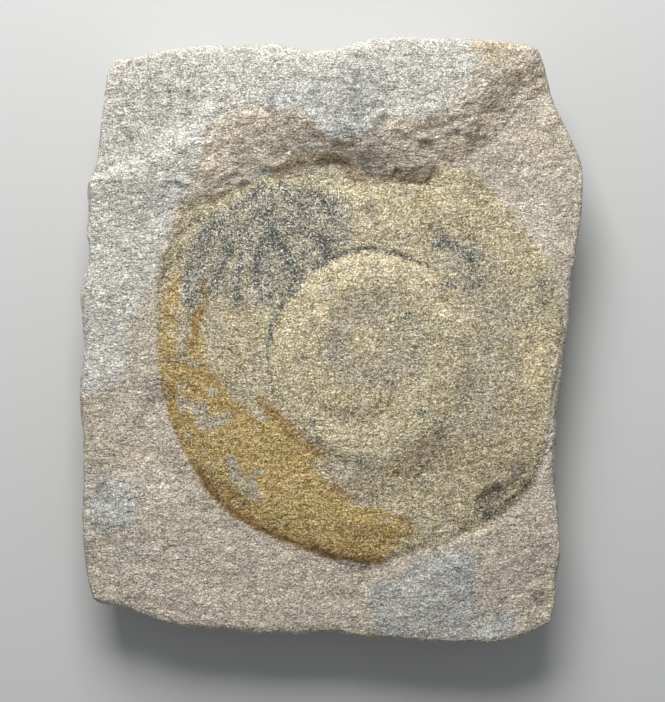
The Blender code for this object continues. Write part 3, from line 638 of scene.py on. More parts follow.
def area_share(outline, softness, places):
    """1 inside an outline, 0 outside it, and a soft ramp across it."""
    away = distance_to_line((*outline, outline[0]), places)
    return smooth_step(np.where(inside(outline, places), away, -away), -softness, softness)


def strength_at(places, areas=(), spots=(), lines=()):
    """Strength of a stain at each place, from its outlined areas, its oval spots and its lines."""
    bare = np.ones(len(places))
    for outline, softness, strength in areas:
        bare *= 1.0 - strength * area_share(on_plan(outline), softness, places)
    for x, y, across, along, strength in spots:
        away = np.hypot(*((places - on_plan((x, y))) / PIXEL_SIZE / (across, along)).T)
        bare *= 1.0 - strength * (1.0 - smooth_step(away, *SPOT_FADE))
    for line, half_width, strength in lines:
        away = distance_to_line(on_plan(line), places)
        bare *= 1.0 - strength * (1.0 - smooth_step(away, LINE_CORE * half_width, half_width))
    return 1.0 - bare


def noise_at(points, size, seed):
    """Smooth noise at each point, about -1 to 1, with lumps of a given size in each direction."""
    stretched = points / np.array(size) + (seed, 2.0 * seed, 3.0 * seed)
    return np.array([noise.noise(Vector(point)) for point in stretched])


def layered_noise(points, layers, seed=0.0):
    """The sum of some layers of noise at each point."""
    return sum(strength * noise_at(points, size, seed + place) for size, strength, place in layers)


def on_disc(places):
    """Distance from the disc's centre as a share of its margin, and the compass bearing."""
    across, along = (places - DISC_CENTRE).T
    bearings = np.degrees(np.arctan2(along, across))
    return np.hypot(across, along) / around(DISC_MARGIN, bearings), bearings


def on_scarp(places, crest_fade):
    """1 on the broken part of the scarp and 0 elsewhere, fading at its foot and its crest."""
    crest = np.interp(places[:, 0], *np.transpose(SCARP_CREST))
    foot = np.interp(places[:, 0], *np.transpose(SCARP_FOOT))
    scarp = smooth_step(places[:, 1], foot + FOOT_FADE[0], foot + FOOT_FADE[1])
    scarp *= 1.0 - smooth_step(places[:, 1], crest + crest_fade[0], crest + crest_fade[1])
    return scarp * smooth_step(places[:, 0], *SCARP_START)


def read_numbers(items, name, width, kind=np.float32):
    """One property of every item of a mesh, a row for each."""
    found = np.empty(len(items) * width, kind)
    items.foreach_get(name, found)
    return found.reshape(-1, width)


def refined_copy(node, levels):
    """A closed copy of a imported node's mesh, as quads where it can be, divided and rounded by subdivision."""
    mesh = bmesh.new()
    mesh.from_mesh(node.data)
    bmesh.ops.remove_doubles(mesh, verts=mesh.verts[:], dist=MERGE_DISTANCE * MM)
    bmesh.ops.join_triangles(mesh, faces=mesh.faces[:], angle_face_threshold=QUAD_FACE_ANGLE,
                             angle_shape_threshold=QUAD_SHAPE_ANGLE)
    crease = mesh.edges.layers.float.new("crease_edge")
    for edge in mesh.edges:
        edge[crease] = EDGE_CREASE * (edge.calc_face_angle() > SHARP_ANGLE)
    data = bpy.data.meshes.new(PIECE)
    mesh.to_mesh(data)
    mesh.free()
    piece = bpy.data.objects.new(PIECE, data)
    bpy.context.scene.collection.objects.link(piece)
    divide = piece.modifiers.new("Divide", "SUBSURF")
    divide.levels = levels
    divide.render_levels = levels
    fine = bpy.data.meshes.new_from_object(piece.evaluated_get(bpy.context.evaluated_depsgraph_get()))
    piece.modifiers.clear()
    piece.data = fine
    bpy.data.meshes.remove(data)
    fine.name = PIECE
    return piece


def height_below(solid, place):
    """Height of a solid's face below a place on the plan, or nothing beside the solid."""
    above = Vector((place[0] - BOX_MIDDLE[0], place[1] - BOX_MIDDLE[1], ABOVE_ALL))
    hit = solid.ray_cast(above, Vector((0.0, 0.0, -1.0)))[0]
    return hit.z if hit else None


def rim_steps(node):
    """How much higher the stone stands just outside the disc than just inside it, by compass bearing."""
    corners = [vert.co / MM for vert in node.data.vertices]
    faces = [tuple(face.vertices) for face in node.data.polygons]
    solid = BVHTree.FromPolygons(corners, faces)
    steps = []
    for index in range(RIM_BEARINGS):
        bearing = 360.0 * index / RIM_BEARINGS
        radius = around(DISC_MARGIN, np.array([bearing]))[0]
        outwards = np.array((math.cos(math.radians(bearing)), math.sin(math.radians(bearing))))
        inner, outer = (height_below(solid, DISC_CENTRE + share * radius * outwards) for share in SOLID_RIM)
        steps.append((bearing, 0.0 if inner is None or outer is None else outer - inner))
    return steps


def ledges(points, step, seed):
    """Change of height that breaks a slope into ledges of about one step each."""
    level = points[:, 2] / step + LEDGE_WANDER_STEPS * layered_noise(points, LEDGE_WANDER, seed)
    below = np.floor(level)
    return (below + smooth_step(level - below, *LEDGE_RISE) - level) * step


def facets(points, size, place):
    """Height of a surface broken into small flat facets, each tilted its own way."""
    heights = []
    for point in points / size + place:
        centre = noise.voronoi(Vector(point))[1][0]
        tilt = Vector([noise.noise(TILT_SPREAD * centre + offset) for offset in TILT_OFFSETS])
        heights.append(tilt.dot(Vector(point) - centre) * size)
    return np.array(heights)


def top_relief(points, shape, steps):
    """Change of height over the upper face: crisp rims, ledges, cracks and the roughness of the stone."""
    places = points[:, :2] + BOX_MIDDLE
    share, bearings = on_disc(places)
    fossil = 1.0 - smooth_step(share, *CRISP_RIM)
    crisp = smooth_step(share, *CRISP_RIM) - smooth_step(share, *SOLID_RIM)
    soft = smooth_step(bearings, *SOFT_RIM[:2]) * (1.0 - smooth_step(bearings, *SOFT_RIM[2:]))
    change = crisp * around(steps, bearings) * (1.0 - SOFT_RIM_SHARE * soft)

    scarp = on_scarp(places, RELIEF_CREST_FADE)
    broken = smooth_step(noise_at(points, (BROKEN_SIZE,) * 3, BROKEN_PLACE), *BROKEN_NOISE)
    change += SCARP_LEDGE_SHARE * scarp * broken * ledges(points, SCARP_LEDGE, SCARP_LEDGE_PLACE)
    chipped = FACET_TILT * scarp + MATRIX_FACET_TILT * (1.0 - fossil) * (1.0 - scarp)
    change += chipped * facets(points, FACET_SIZE, FACET_PLACE)
    for outline, softness, step, strength in LEDGE_AREAS:
        where = strength * area_share(outline, softness, places) * (1.0 - fossil) * broken
        change += where * ledges(points, step, AREA_LEDGE_PLACE)

    for line, half_width, depth in CRACKS:
        change -= depth * (1.0 - smooth_step(distance_to_line(line, places), 0.0, half_width))

    rough = shape.matrix_relief / MM * (1.0 - fossil) + shape.disc_relief / MM * fossil
    return change + rough * layered_noise(points, ROUGH_LAYERS)


def side_relief(points, shape):
    """How far the broken sides stand back, with beds that run level round the slab."""
    beds = BED_SHARE * layered_noise(points, BED_LAYERS)
    return shape.side_relief / MM * (beds + CHIP_SHARE * layered_noise(points, CHIP_LAYERS))


def weather(piece, node, shape):
    """Moves the fine mesh's vertices to the stone's real surface, inside the solid's box."""
    mesh = piece.data
    points = read_numbers(mesh.vertices, "co", 3) / MM
    normals = read_numbers(mesh.vertices, "normal", 3)
    top = smooth_step(normals[:, 2], *TOP_FACING)
    under = smooth_step(-normals[:, 2], *UNDER_FACING)
    side = np.clip(1.0 - top - under, 0.0, 1.0)
    points[:, 2] += top * top_relief(points, shape, rim_steps(node))
    points += normals * (side * side_relief(points, shape))[:, None]
    lumps = np.abs(layered_noise(points, UNDER_LAYERS))
    points[:, 2] += under * UNDER_SHARE * shape.side_relief / MM * lumps
    low, high = (np.array(corner) / MM for corner in cad_box)
    points = np.clip(points, low, high)
    mesh.vertices.foreach_set("co", (points * MM).ravel())
    mesh.update()


def store(mesh, name, values):
    """Keeps a value from 0 to 1 at every vertex for the material to read."""
    layer = mesh.attributes.new(name, "FLOAT", "POINT")
    layer.data.foreach_set("value", np.clip(values, 0.0, 1.0).astype(np.float32))


def crests(mesh, rounds):
    """How far each vertex stands out of the surface around it, in millimetres."""
    points = read_numbers(mesh.vertices, "co", 3) / MM
    normals = read_numbers(mesh.vertices, "normal", 3)
    ends = np.empty(2 * len(mesh.edges), np.int32)
    mesh.edges.foreach_get("vertices", ends)
    first, second = ends[::2], ends[1::2]
    count = np.bincount(ends, minlength=len(points))[:, None]
    smoothed = points.copy()
    for _ in range(rounds):
        total = np.zeros_like(smoothed)
        np.add.at(total, first, smoothed[second])
        np.add.at(total, second, smoothed[first])
        smoothed = total / count
    return ((points - smoothed) * normals).sum(1)


def brown_rim_shade(share, bearings):
    """Strength of the brown painted shade along the inner side of the margin, where the fossil's edge slopes
    away from the light.
    """
    first, last = RIM_BROWN_BEARINGS
    turned = (bearings - first) % 360.0
    band = smooth_step(turned, 0.0, RIM_BROWN_FADE)
    band *= 1.0 - smooth_step(turned, last - first - RIM_BROWN_FADE, last - first)
    return band * smooth_step(share, *RIM_BROWN_INNER) * (1.0 - smooth_step(share, *RIM_BROWN_OUTER))


def either(*strengths):
    """The strength of stains laid over each other."""
    bare = 1.0
    for strength in strengths:
        bare = bare * (1.0 - strength)
    return 1.0 - bare


def mark_stains(piece):
    """Stores where each stain is, the painted shade and light, the crests lightened as wear and painted
    highlight, and the hollows darkened as painted shade.
    """
    mesh = piece.data
    points = read_numbers(mesh.vertices, "co", 3) / MM
    normals = read_numbers(mesh.vertices, "normal", 3)
    places = points[:, :2] + BOX_MIDDLE
    top = smooth_step(normals[:, 2], *STAIN_FACING)
    share, bearings = on_disc(places)
    fossil = top * (1.0 - smooth_step(share, *CRISP_RIM))
    iron = top * (1.0 - smooth_step(share, *IRON_RIM))
    hollow = 1.0 - smooth_step(np.hypot(*((places - HOLLOW_CENTRE) / HOLLOW_RADII).T), *HOLLOW_FADE)
    pocks = strength_at(places, spots=DULL_POCKS)
    brown = strength_at(places, BROWN_STAIN_AND_SHADE_AREAS, lines=BROWN_STAIN_AND_SHADE_LINES)
    relief = crests(mesh, SMOOTHING_ROUNDS)
    stains = {
        "cool": strength_at(places, COOL_AREAS),
        "blue": top * strength_at(places, BLUE_AREAS, BLUE_SPOTS),
        "warm": strength_at(places, spots=WARM_SPOTS),
        "olive": top * either(fossil * FOSSIL_OLIVE, strength_at(places, OLIVE_AREAS)),
        "cream": top * strength_at(places, CREAM_AREAS, CREAM_SPOTS),
        "dull": fossil * either(HOLLOW_DULL * hollow, pocks, strength_at(places, DULL_AREAS)),
        "golden": fossil * strength_at(places, GOLDEN_AREAS, GOLDEN_SPOTS),
        "ochre": iron * strength_at(places, OCHRE_AREAS) * (1.0 - pocks),
        "rust": iron * strength_at(places, lines=RUST_LINES),
        # Brown, partly stain and partly painted shade in low places and along the rim.
        "brown": top * np.maximum(brown_rim_shade(share, bearings), brown),
        "manganese": top * strength_at(places, MANGANESE_AREAS, MANGANESE_SPOTS, MANGANESE_LINES),
        # Painted shade with some grime, and painted light.
        "shade_and_grime": top * strength_at(places, SHADE_AND_GRIME_AREAS, SHADE_AND_GRIME_SPOTS, SHADE_AND_GRIME_LINES),
        "pale": top * strength_at(places, PAINTED_LIGHT_AND_PALE_AREAS, PAINTED_LIGHT_AND_PALE_SPOTS, PAINTED_LIGHT_AND_PALE_LINES),
        "fossil": fossil,
        "broken": np.maximum(1.0 - top, on_scarp(places, ROUGH_CREST_FADE)),
        # Crests, lightened as wear and painted highlight, and hollows, darkened as painted shade.
        "worn_lit_crest": smooth_step(relief, *STANDS_OUT),
        "shaded_hollow": smooth_step(-relief, *STANDS_OUT),
    }
    for name, values in stains.items():
        store(mesh, name, values)


def lay_out_map(piece):
    """Gives the piece a texture map: upper face, underside, then the sides towards -X, +X, -Y and +Y."""
    mesh = piece.data
    points = read_numbers(mesh.vertices, "co", 3) / MM - np.array(cad_box[0]) / MM
    across, along, up = read_numbers(mesh.polygons, "normal", 3).T
    sideways = np.abs(across) > np.abs(along)
    cells = np.select(
        [up > MAP_FACING, up < -MAP_FACING, sideways & (across < 0.0), sideways, along < 0.0],
        [0, 1, 2, 3, 4], 5)
    sizes = read_numbers(mesh.polygons, "loop_total", 1, np.int32).ravel()
    corners = read_numbers(mesh.loops, "vertex_index", 1, np.int32).ravel()
    cells = np.repeat(cells, sizes)
    places = np.empty((len(corners), 2), np.float32)
    for index, (axes, corner, scale) in enumerate(MAP_CELLS):
        chosen = cells == index
        places[chosen] = points[corners[chosen]][:, axes] * scale + corner
    mesh.uv_layers.new(name="OFBake").uv.foreach_set("vector", places.ravel())


def add_node(tree, kind, sockets=None, **settings):
    """Adds a node. Each socket, by name or number, is given a value or the output that feeds it."""
    made = tree.nodes.new(kind)
    for name, value in settings.items():
        setattr(made, name, value)
    for place, value in (sockets or {}).items():
        if isinstance(value, bpy.types.NodeSocket):
            tree.links.new(value, made.inputs[place])
        else:
            made.inputs[place].default_value = value
    return made


def calculate(tree, operation, *values):
    """The result of a sum on numbers and outputs."""
    return add_node(tree, "ShaderNodeMath", dict(enumerate(values)), operation=operation).outputs[0]


def ramp(tree, value, low, high, first=0.0, last=1.0):
    """An eased ramp from one value to another as the input goes from low to high."""
    made = add_node(tree, "ShaderNodeMapRange", {0: value, 1: low, 2: high, 3: first, 4: last},
                    interpolation_type="SMOOTHSTEP")
    return made.outputs[0]


def mix_colours(tree, share, below, above, way="MIX"):
    """One colour laid over another."""
    return add_node(tree, "ShaderNodeMix", {0: share, 6: below, 7: above},
                    data_type="RGBA", blend_type=way).outputs[2]


def noise_value(tree, vector, size, detail=2.0, roughness=0.5):
    """Smooth noise with lumps of a given size in metres."""
    made = add_node(tree, "ShaderNodeTexNoise",
                    {"Vector": vector, "Scale": 1.0 / size, "Detail": detail, "Roughness": roughness})
    return made.outputs["Fac"]


def stain_value(tree, name):
    """One of the values stored on the slab's vertices."""
    return add_node(tree, "ShaderNodeAttribute", attribute_name=name).outputs["Fac"]


def new_group(name, inputs, outputs):
    """An empty node group with named sockets, what its inputs give, and the inputs of its result."""
    group = bpy.data.node_groups.new(name, "ShaderNodeTree")
    for label, kind, default in inputs:
        socket = group.interface.new_socket(name=label, in_out="INPUT", socket_type=kind)
        if default is not None:
            socket.default_value = default
    for label in outputs:
        group.interface.new_socket(name=label, in_out="OUTPUT", socket_type="NodeSocketFloat")
    given = group.nodes.new("NodeGroupInput").outputs
    result = group.nodes.new("NodeGroupOutput").inputs
    return group, given, result


def place_group(tree, group, sockets):
    """Puts a node group into a material and returns its outputs."""
    return add_node(tree, "ShaderNodeGroup", sockets, node_tree=group).outputs


def sand_grain_group():
    """Cemented sand grains: the shade of each, how far it stands out, and a chance of its own from 0 to 1."""
    group, given, result = new_group(
        "Sand Grain",
        (("Vector", "NodeSocketVector", None), ("Grain Size", "NodeSocketFloat", 0.3 * MM),
         ("Contrast", "NodeSocketFloat", 1.0)),
        ("Shade", "Height", "Chance"))
    density = calculate(group, "DIVIDE", 1.0, given["Grain Size"])
    clump_density = calculate(group, "MULTIPLY", density, CLUMP_DENSITY)
    cells = add_node(group, "ShaderNodeTexVoronoi", {"Vector": given["Vector"], "Scale": density})
    clumps = add_node(group, "ShaderNodeTexVoronoi", {"Vector": given["Vector"], "Scale": clump_density})
    chances = add_node(group, "ShaderNodeSeparateColor", {0: cells.outputs["Color"]}).outputs
    clump_chance = add_node(group, "ShaderNodeSeparateColor", {0: clumps.outputs["Color"]}).outputs[0]
    grain = calculate(group, "MULTIPLY_ADD", chances[0], *GRAIN_SHADE)
    clump = calculate(group, "MULTIPLY_ADD", clump_chance, *CLUMP_SHADE)
    total = calculate(group, "ADD", grain, clump)
    shade = calculate(group, "EXPONENT", calculate(group, "MULTIPLY", total, given["Contrast"]))
    dome = calculate(group, "MULTIPLY_ADD", clumps.outputs["Distance"], -1.0, 1.0)
    group.links.new(shade, result["Shade"])
    group.links.new(calculate(group, "MULTIPLY_ADD", clump_chance, CLUMP_HEIGHT, dome), result["Height"])
    group.links.new(chances[2], result["Chance"])
    return group


def ragged_stain_and_light_group():
    """A stain, or painted light or shade, that covers more of the stone, patch by patch, the denser it is."""
    group, given, result = new_group(
        "Ragged Stain And Painted Light",
        (("Vector", "NodeSocketVector", None), ("Density", "NodeSocketFloat", 0.0),
         ("Patch Size", "NodeSocketFloat", 2.0 * MM), ("Softness", "NodeSocketFloat", 0.25)),
        ("Mask",))
    detail, roughness = PATCH_NOISE
    made = add_node(group, "ShaderNodeTexNoise",
                    {"Vector": given["Vector"], "Scale": calculate(group, "DIVIDE", 1.0, given["Patch Size"]),
                     "Detail": detail, "Roughness": roughness})
    bar = ramp(group, made.outputs["Fac"], *PATCH_SPREAD, *PATCH_BAR)
    excess = calculate(group, "SUBTRACT", given["Density"], bar)
    below = calculate(group, "MULTIPLY", given["Softness"], -1.0)
    covered = ramp(group, excess, below, given["Softness"])
    present = ramp(group, given["Density"], *PATCH_START)
    group.links.new(calculate(group, "MULTIPLY", covered, present), result["Mask"])
    return group


def dendrite_group():
    """Feathery growth from a root: stems that fan out from it, and needles that leave them at an angle."""
    group, given, result = new_group(
        "Dendrites",
        (("Vector", "NodeSocketVector", None), ("Root", "NodeSocketVector", (0.0, 0.0, 0.0)),
         ("Density", "NodeSocketFloat", 0.0), ("Chance", "NodeSocketFloat", 0.5)),
        ("Mask",))
    away = add_node(group, "ShaderNodeVectorMath", {0: given["Vector"], 1: given["Root"]},
                    operation="SUBTRACT")
    across, along = add_node(group, "ShaderNodeSeparateXYZ", {0: away.outputs[0]}).outputs[:2]
    wander = noise_value(group, given["Vector"], DENDRITE_WANDER_SIZE * MM, *DENDRITE_WANDER_NOISE)
    angle = calculate(group, "ARCTAN2", across, calculate(group, "MULTIPLY", along, -1.0))
    angle = calculate(group, "MULTIPLY_ADD", wander, DENDRITE_WANDER, angle)
    squares = [calculate(group, "MULTIPLY", part, part) for part in (across, along)]
    reach = calculate(group, "SQRT", calculate(group, "ADD", *squares))
    reach = calculate(group, "LOGARITHM", calculate(group, "ADD", reach, DENDRITE_NEAREST * MM), math.e)
    darkness = 0.0
    for lean, across_scale, along_scale, bar in DENDRITE_LAYERS:
        sideways = calculate(group, "SUBTRACT", calculate(group, "MULTIPLY", angle, math.cos(lean)),
                             calculate(group, "MULTIPLY", reach, math.sin(lean)))
        onwards = calculate(group, "ADD", calculate(group, "MULTIPLY", angle, math.sin(lean)),
                            calculate(group, "MULTIPLY", reach, math.cos(lean)))
        place = add_node(group, "ShaderNodeCombineXYZ",
                         {0: calculate(group, "MULTIPLY", sideways, across_scale),
                          1: calculate(group, "MULTIPLY", onwards, along_scale),
                          2: DENDRITE_LAYER_PLACE * lean})
        streaks = noise_value(group, place.outputs[0], 1.0)
        streaks = ramp(group, streaks, bar + STREAK_EDGE[0], bar + STREAK_EDGE[1])
        darkness = calculate(group, "MAXIMUM", darkness, streaks)
    growth = calculate(group, "MULTIPLY", given["Density"],
                       calculate(group, "MULTIPLY_ADD", darkness, *DENDRITE_GROWTH))
    excess = calculate(group, "SUBTRACT", growth, given["Chance"])
    group.links.new(ramp(group, excess, *DENDRITE_EDGE), result["Mask"])
    return group


def stone_colour(tree, place, fossil, sand, stain, tint):
    """The stone's colour under its films, iron stains and brown painted shade, with its dendrites and its
    clearest grains, which are also painted glints.
    """
    colour = tint("beige")
    for name, patch_size, softness in FILMS:
        colour = mix_colours(tree, stain(name, patch_size, softness), colour, tint(name))
    for name, size, strength in FOSSIL_PATCHES:
        patches = noise_value(tree, place, size * MM, *FOSSIL_PATCH_NOISE)
        patches = ramp(tree, patches, *FOSSIL_PATCH_EDGE, 0.0, strength)
        colour = mix_colours(tree, calculate(tree, "MULTIPLY", patches, fossil), colour, tint(name))
    # Iron stains, with the brown that is partly painted shade.
    for name, patch_size, softness in IRON_STAINS_AND_BROWN_SHADE:
        colour = mix_colours(tree, stain(name, patch_size, softness), colour, tint(name))
    manganese = stain_value(tree, "manganese")
    film = calculate(tree, "MULTIPLY", manganese, MANGANESE_FILM)
    colour = mix_colours(tree, film, colour, tint("blue"))
    growth = place_group(tree, dendrite_group(),
                         {"Vector": place, "Root": Vector((*DENDRITE_ROOT, FACE_HEIGHT)) * MM,
                          "Density": manganese, "Chance": sand["Chance"]})["Mask"]
    colour = mix_colours(tree, growth, colour, tint("manganese"))
    # Clear grains, lightened also as painted glints.
    glint = ramp(tree, sand["Chance"], *GLINT_CHANCES, 0.0, GLINT_STRENGTH)
    return mix_colours(tree, glint, colour, tint("quartz"))


def shaded(tree, colour, place, fossil, sand, stain):
    """The stone's colour with its light and dark: mottle, crests lightened as wear and painted highlight,
    hollows in painted shade, painted shade with some grime, painted light, and the shade of every grain.
    """
    tone_wear_and_painted_light = ramp(tree, noise_value(tree, place, MOTTLE_SIZE * MM, *MOTTLE_NOISE), *MOTTLE_EDGE, *MOTTLE_RANGE)
    # Crests lightened as wear and painted highlight, hollows darkened as painted shade.
    for name, gain in CREST_LIGHT_AND_HOLLOW_SHADE_GAINS:
        tone_wear_and_painted_light = calculate(tree, "MULTIPLY_ADD", stain_value(tree, name), gain, tone_wear_and_painted_light)
    # Painted shade with some grime darkens the stone, painted light lightens it.
    for name, patch_size, softness, shade in PAINTED_SHADE_GRIME_AND_LIGHT:
        painted_tone = ramp(tree, stain(name, patch_size, softness), 0.0, 1.0, 1.0, shade)
        tone_wear_and_painted_light = calculate(tree, "MULTIPLY", tone_wear_and_painted_light, painted_tone)
    lightness = add_node(tree, "ShaderNodeRGBToBW", {0: colour}).outputs[0]
    tinted = calculate(tree, "POWER", sand["Shade"], ramp(tree, fossil, 0.0, 1.0, *GRAIN_TINT))
    veil = calculate(tree, "MULTIPLY_ADD", sand["Shade"], GRAIN_VEIL, -GRAIN_VEIL)
    veil = calculate(tree, "MULTIPLY", veil, lightness)
    veil = calculate(tree, "MULTIPLY", veil, ramp(tree, fossil, 0.0, 1.0, *GRAIN_VEIL_SHARE))
    for value, way in ((calculate(tree, "MULTIPLY", tinted, tone_wear_and_painted_light), "MULTIPLY"), (veil, "ADD")):
        grey = add_node(tree, "ShaderNodeCombineColor", {0: value, 1: value, 2: value}).outputs[0]
        colour = mix_colours(tree, 1.0, colour, grey, way)
    return colour


def grain_height(tree, place, sand):
    """Height of the grains with their pits and chips."""
    pits = noise_value(tree, place, PIT_SIZE * MM, *PIT_NOISE)
    height = calculate(tree, "MULTIPLY_ADD", pits, PIT_HEIGHT, sand["Height"])
    slant = add_node(tree, "ShaderNodeMapping",
                     {"Vector": place, "Rotation": (0.0, 0.0, CHIP_TURN), "Scale": CHIP_STRETCH})
    chips = noise_value(tree, slant.outputs[0], CHIP_SIZE * MM, *CHIP_NOISE)
    strength = ramp(tree, stain_value(tree, "broken"), 0.0, 1.0, *CHIP_HEIGHTS)
    return calculate(tree, "ADD", height, calculate(tree, "MULTIPLY", chips, strength))


def stone_finish(colours, grain):
    """Fine sandstone with its stains, as one material for the whole slab."""
    material = bpy.data.materials.new("stained_sandstone")
    material.use_nodes = True
    tree = material.node_tree
    shader = tree.nodes["Principled BSDF"]
    place = add_node(tree, "ShaderNodeTexCoord").outputs["Object"]
    ragged = ragged_stain_and_light_group()

    def stain(name, patch_size, softness):
        """Where a stored stain, or stored painted light or shade, covers the stone."""
        return place_group(tree, ragged, {"Vector": place, "Density": stain_value(tree, name),
                                          "Patch Size": patch_size * MM, "Softness": softness})["Mask"]

    def tint(name):
        """One of the colours, opaque."""
        return (*getattr(colours, name), 1.0)

    fossil = stain_value(tree, "fossil")
    contrast = ramp(tree, fossil, 0.0, 1.0, grain.contrast, grain.contrast * grain.fossil_gain)
    sand = place_group(tree, sand_grain_group(),
                       {"Vector": place, "Grain Size": grain.size, "Contrast": contrast})
    colour = stone_colour(tree, place, fossil, sand, stain, tint)
    tree.links.new(shaded(tree, colour, place, fossil, sand, stain), shader.inputs["Base Color"])
    height = grain_height(tree, place, sand)
    bump = add_node(tree, "ShaderNodeBump", {"Strength": 1.0, "Distance": grain.relief, "Height": height})
    tree.links.new(bump.outputs[0], shader.inputs["Normal"])
    tree.links.new(ramp(tree, sand["Chance"], 0.0, 1.0, *ROUGHNESS_RANGE), shader.inputs["Roughness"])
    shader.inputs["Metallic"].default_value = 0.0
    shader.inputs["Specular IOR Level"].default_value = SPECULAR_LEVEL
    return material


def length_property(name, description, default):
    """A length that a user may change."""
    return bpy.props.FloatProperty(name=name, description=description, default=default, unit="LENGTH")


class EldoniaShape(bpy.types.PropertyGroup):
    """How the slab's surface is refined."""

    fineness: bpy.props.IntProperty(
        name="Fineness", description="Times each face of the solid is divided", default=2, min=1, max=3)
    matrix_relief: length_property(
        "Broken Stone Relief", "Height of the lumps on the stone around the fossil", 0.06 * MM)
    disc_relief: length_property("Fossil Relief", "Height of the lumps on the fossil", 0.045 * MM)
    side_relief: length_property("Side Relief", "Depth of the beds and chips on the sides", 0.3 * MM)


def colour_property(name, description, default):
    """A colour that a user may change."""
    return bpy.props.FloatVectorProperty(name=name, description=description, subtype="COLOR",
                                         size=3, min=0.0, max=1.0, default=default)


class EldoniaColours(bpy.types.PropertyGroup):
    """Colours of the stone and of what stains it."""

    beige: colour_property("Stone", "Unstained sandstone", (0.415, 0.362, 0.288))
    cool: colour_property("Grey Stone", "The paler, greyer stone of the thick layer", (0.45, 0.43, 0.38))
    warm: colour_property("Warm Stone", "Faintly iron-stained patches", (0.46, 0.39, 0.28))
    blue: colour_property("Blue Grey", "Blue-grey patches", (0.345, 0.343, 0.318))
    olive: colour_property("Olive", "The film over the fossil", (0.388, 0.34, 0.218))
    dull: colour_property("Dull Film", "The duller, greyer film on parts of the fossil", (0.33, 0.287, 0.205))
    cream: colour_property("Cream", "Pale yellow band on the inner disc", (0.475, 0.416, 0.265))
    golden: colour_property("Golden", "Faint iron stain on the fossil", (0.405, 0.336, 0.20))
    # Brown, partly stain and partly painted shade in the low places.
    brown: colour_property("Brown", "Brown in the low places", (0.26, 0.205, 0.13))
    ochre: colour_property("Ochre", "Yellow iron stain", (0.366, 0.262, 0.102))
    rust: colour_property("Rust", "Deep orange-brown iron stain", (0.27, 0.166, 0.055))
    # Clear grains, and the painted glints on them.
    quartz: colour_property("Quartz", "The clearest sand grains", (0.62, 0.60, 0.55))
    manganese: colour_property("Manganese", "Dark dendrites", (0.075, 0.078, 0.068))


class EldoniaGrain(bpy.types.PropertyGroup):
    """The sand grains of the stone."""

    size: length_property("Grain Size", "Width of a sand grain", 0.18 * MM)
    contrast: bpy.props.FloatProperty(
        name="Contrast", description="How much the grains differ in shade", default=2.4, min=0.0, max=6.0)
    fossil_gain: bpy.props.FloatProperty(
        name="Fossil Contrast", description="How much more they differ on the fossil", default=1.3, min=0.0)
    relief: length_property("Grain Relief", "How far the grains stand out", 0.12 * MM)


class EldoniaStage(bpy.types.PropertyGroup):
    """The floor, the lights and the camera."""

    floor_colour: colour_property("Floor", "Colour of the floor", (0.5, 0.5, 0.49))
    key_power: bpy.props.FloatProperty(
        name="Key Light", description="Power of the soft light beyond the thick end",
        default=2.8, unit="POWER")
    key_distance: length_property("Key Distance", "How far the key light is along the floor", 0.32)
    key_height: length_property("Key Height", "How high the key light is", 0.30)
    key_size: length_property("Key Size", "Width of the key light", 0.24)
    fill: bpy.props.FloatProperty(
        name="Fill", description="Strength of the even light from all round", default=0.29, min=0.0)
    lens: bpy.props.FloatProperty(
        name="Lens", description="Focal length of the camera in millimetres",
        default=85.0, subtype="DISTANCE_CAMERA")


class ELDONIA_OT_slab(bpy.types.Operator):
    """Makes the weathered, stained slab in place of the plain solid"""

    bl_idname = "eldonia.slab"
    bl_label = "Make Slab"

    def execute(self, context):
        settings = context.scene
        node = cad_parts[NODE]
        piece = refined_copy(node, settings.eldonia_shape.fineness)
        weather(piece, node, settings.eldonia_shape)
        mark_stains(piece)
        lay_out_map(piece)
        piece.data.shade_smooth()
        piece.data.materials.clear()
        piece.data.materials.append(stone_finish(settings.eldonia_colours, settings.eldonia_grain))
        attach(piece, "root")
        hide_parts(NODE)
        return {"FINISHED"}


def add_floor(settings):
    """A plain pale floor under the slab."""
    mesh = bmesh.new()
    bmesh.ops.create_grid(mesh, x_segments=1, y_segments=1, size=FLOOR_HALF_WIDTH)
    data = bpy.data.meshes.new("studio_floor")
    mesh.to_mesh(data)
    mesh.free()
    floor = bpy.data.objects.new("studio_floor", data)
    bpy.context.scene.collection.objects.link(floor)
    material = bpy.data.materials.new("pale_floor")
    material.use_nodes = True
    shader = material.node_tree.nodes["Principled BSDF"]
    shader.inputs["Base Color"].default_value = (*settings.floor_colour, 1.0)
    shader.inputs["Roughness"].default_value = FLOOR_ROUGHNESS
    data.materials.append(material)


def add_lights(settings):
    """One large soft light beyond the slab's thick end, a little to the left, and an even fill."""
    light = bpy.data.lights.new("key_light", "AREA")
    light.energy = settings.key_power
    light.size = settings.key_size
    key = bpy.data.objects.new("key_light", light)
    bpy.context.scene.collection.objects.link(key)
    key.location = (KEY_ACROSS, settings.key_distance, settings.key_height)
    towards = Vector((0.0, 0.0, FACE_HEIGHT * MM)) - key.location
    key.rotation_euler = towards.to_track_quat("-Z", "Y").to_euler()
    world = bpy.data.worlds.new("studio")
    world.use_nodes = True
    background = world.node_tree.nodes["Background"]
    background.inputs["Color"].default_value = SKY_COLOUR
    background.inputs["Strength"].default_value = settings.fill
    bpy.context.scene.world = world


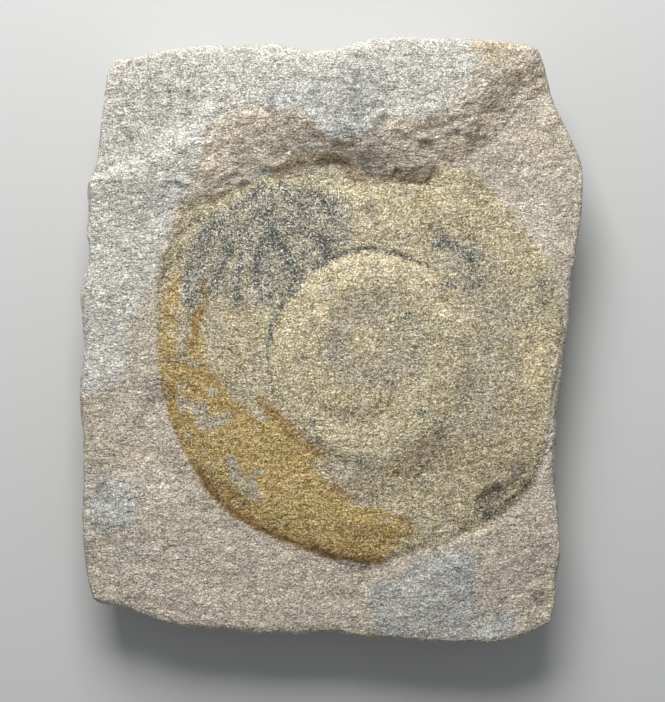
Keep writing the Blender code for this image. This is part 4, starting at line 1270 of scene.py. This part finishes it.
def add_camera(settings):
    """A camera that looks straight down on the slab and frames it as the photograph does."""
    data = bpy.data.cameras.new("camera")
    data.lens = settings.lens
    data.sensor_width = SENSOR_SIZE
    camera = bpy.data.objects.new("camera", data)
    bpy.context.scene.collection.objects.link(camera)
    distance = PHOTO_HEIGHT * PIXEL_SIZE * settings.lens / SENSOR_SIZE
    x, y = np.subtract(PHOTO_MIDDLE, BOX_MIDDLE)
    camera.location = Vector((x, y, FACE_HEIGHT + distance)) * MM
    bpy.context.scene.camera = camera


class ELDONIA_OT_stage(bpy.types.Operator):
    """Adds the floor, the lights and the camera"""

    bl_idname = "eldonia.stage"
    bl_label = "Make Stage"

    def execute(self, context):
        settings = context.scene.eldonia_stage
        add_floor(settings)
        add_lights(settings)
        add_camera(settings)
        context.scene.view_settings.view_transform = "Standard"
        return {"FINISHED"}


class ELDONIA_PT_panel(bpy.types.Panel):
    """Lists the steps and their settings in the sidebar"""

    bl_label = "Eldonia Slab"
    bl_idname = "ELDONIA_PT_panel"
    bl_space_type = "VIEW_3D"
    bl_region_type = "UI"
    bl_category = "Eldonia"

    def draw(self, context):
        layout = self.layout
        for operator, groups in STEPS:
            layout.operator(operator)
            for group in groups:
                settings = getattr(context.scene, group)
                for name in settings.bl_rna.properties.keys():
                    if name not in ("rna_type", "name"):
                        layout.prop(settings, name)


STEPS = (
    ("eldonia.slab", ("eldonia_shape", "eldonia_colours", "eldonia_grain")),
    ("eldonia.stage", ("eldonia_stage",)),
)
GROUPS = {
    "eldonia_shape": EldoniaShape,
    "eldonia_colours": EldoniaColours,
    "eldonia_grain": EldoniaGrain,
    "eldonia_stage": EldoniaStage,
}
CLASSES = (*GROUPS.values(), ELDONIA_OT_slab, ELDONIA_OT_stage, ELDONIA_PT_panel)


def register():
    for kind in CLASSES:
        bpy.utils.register_class(kind)
    for name, kind in GROUPS.items():
        setattr(bpy.types.Scene, name, bpy.props.PointerProperty(type=kind))


def unregister():
    for name in GROUPS:
        delattr(bpy.types.Scene, name)
    for kind in reversed(CLASSES):
        bpy.utils.unregister_class(kind)


def main():
    register()
    bpy.ops.eldonia.slab()
    bpy.ops.eldonia.stage()


if __name__ == "__main__":
    main()
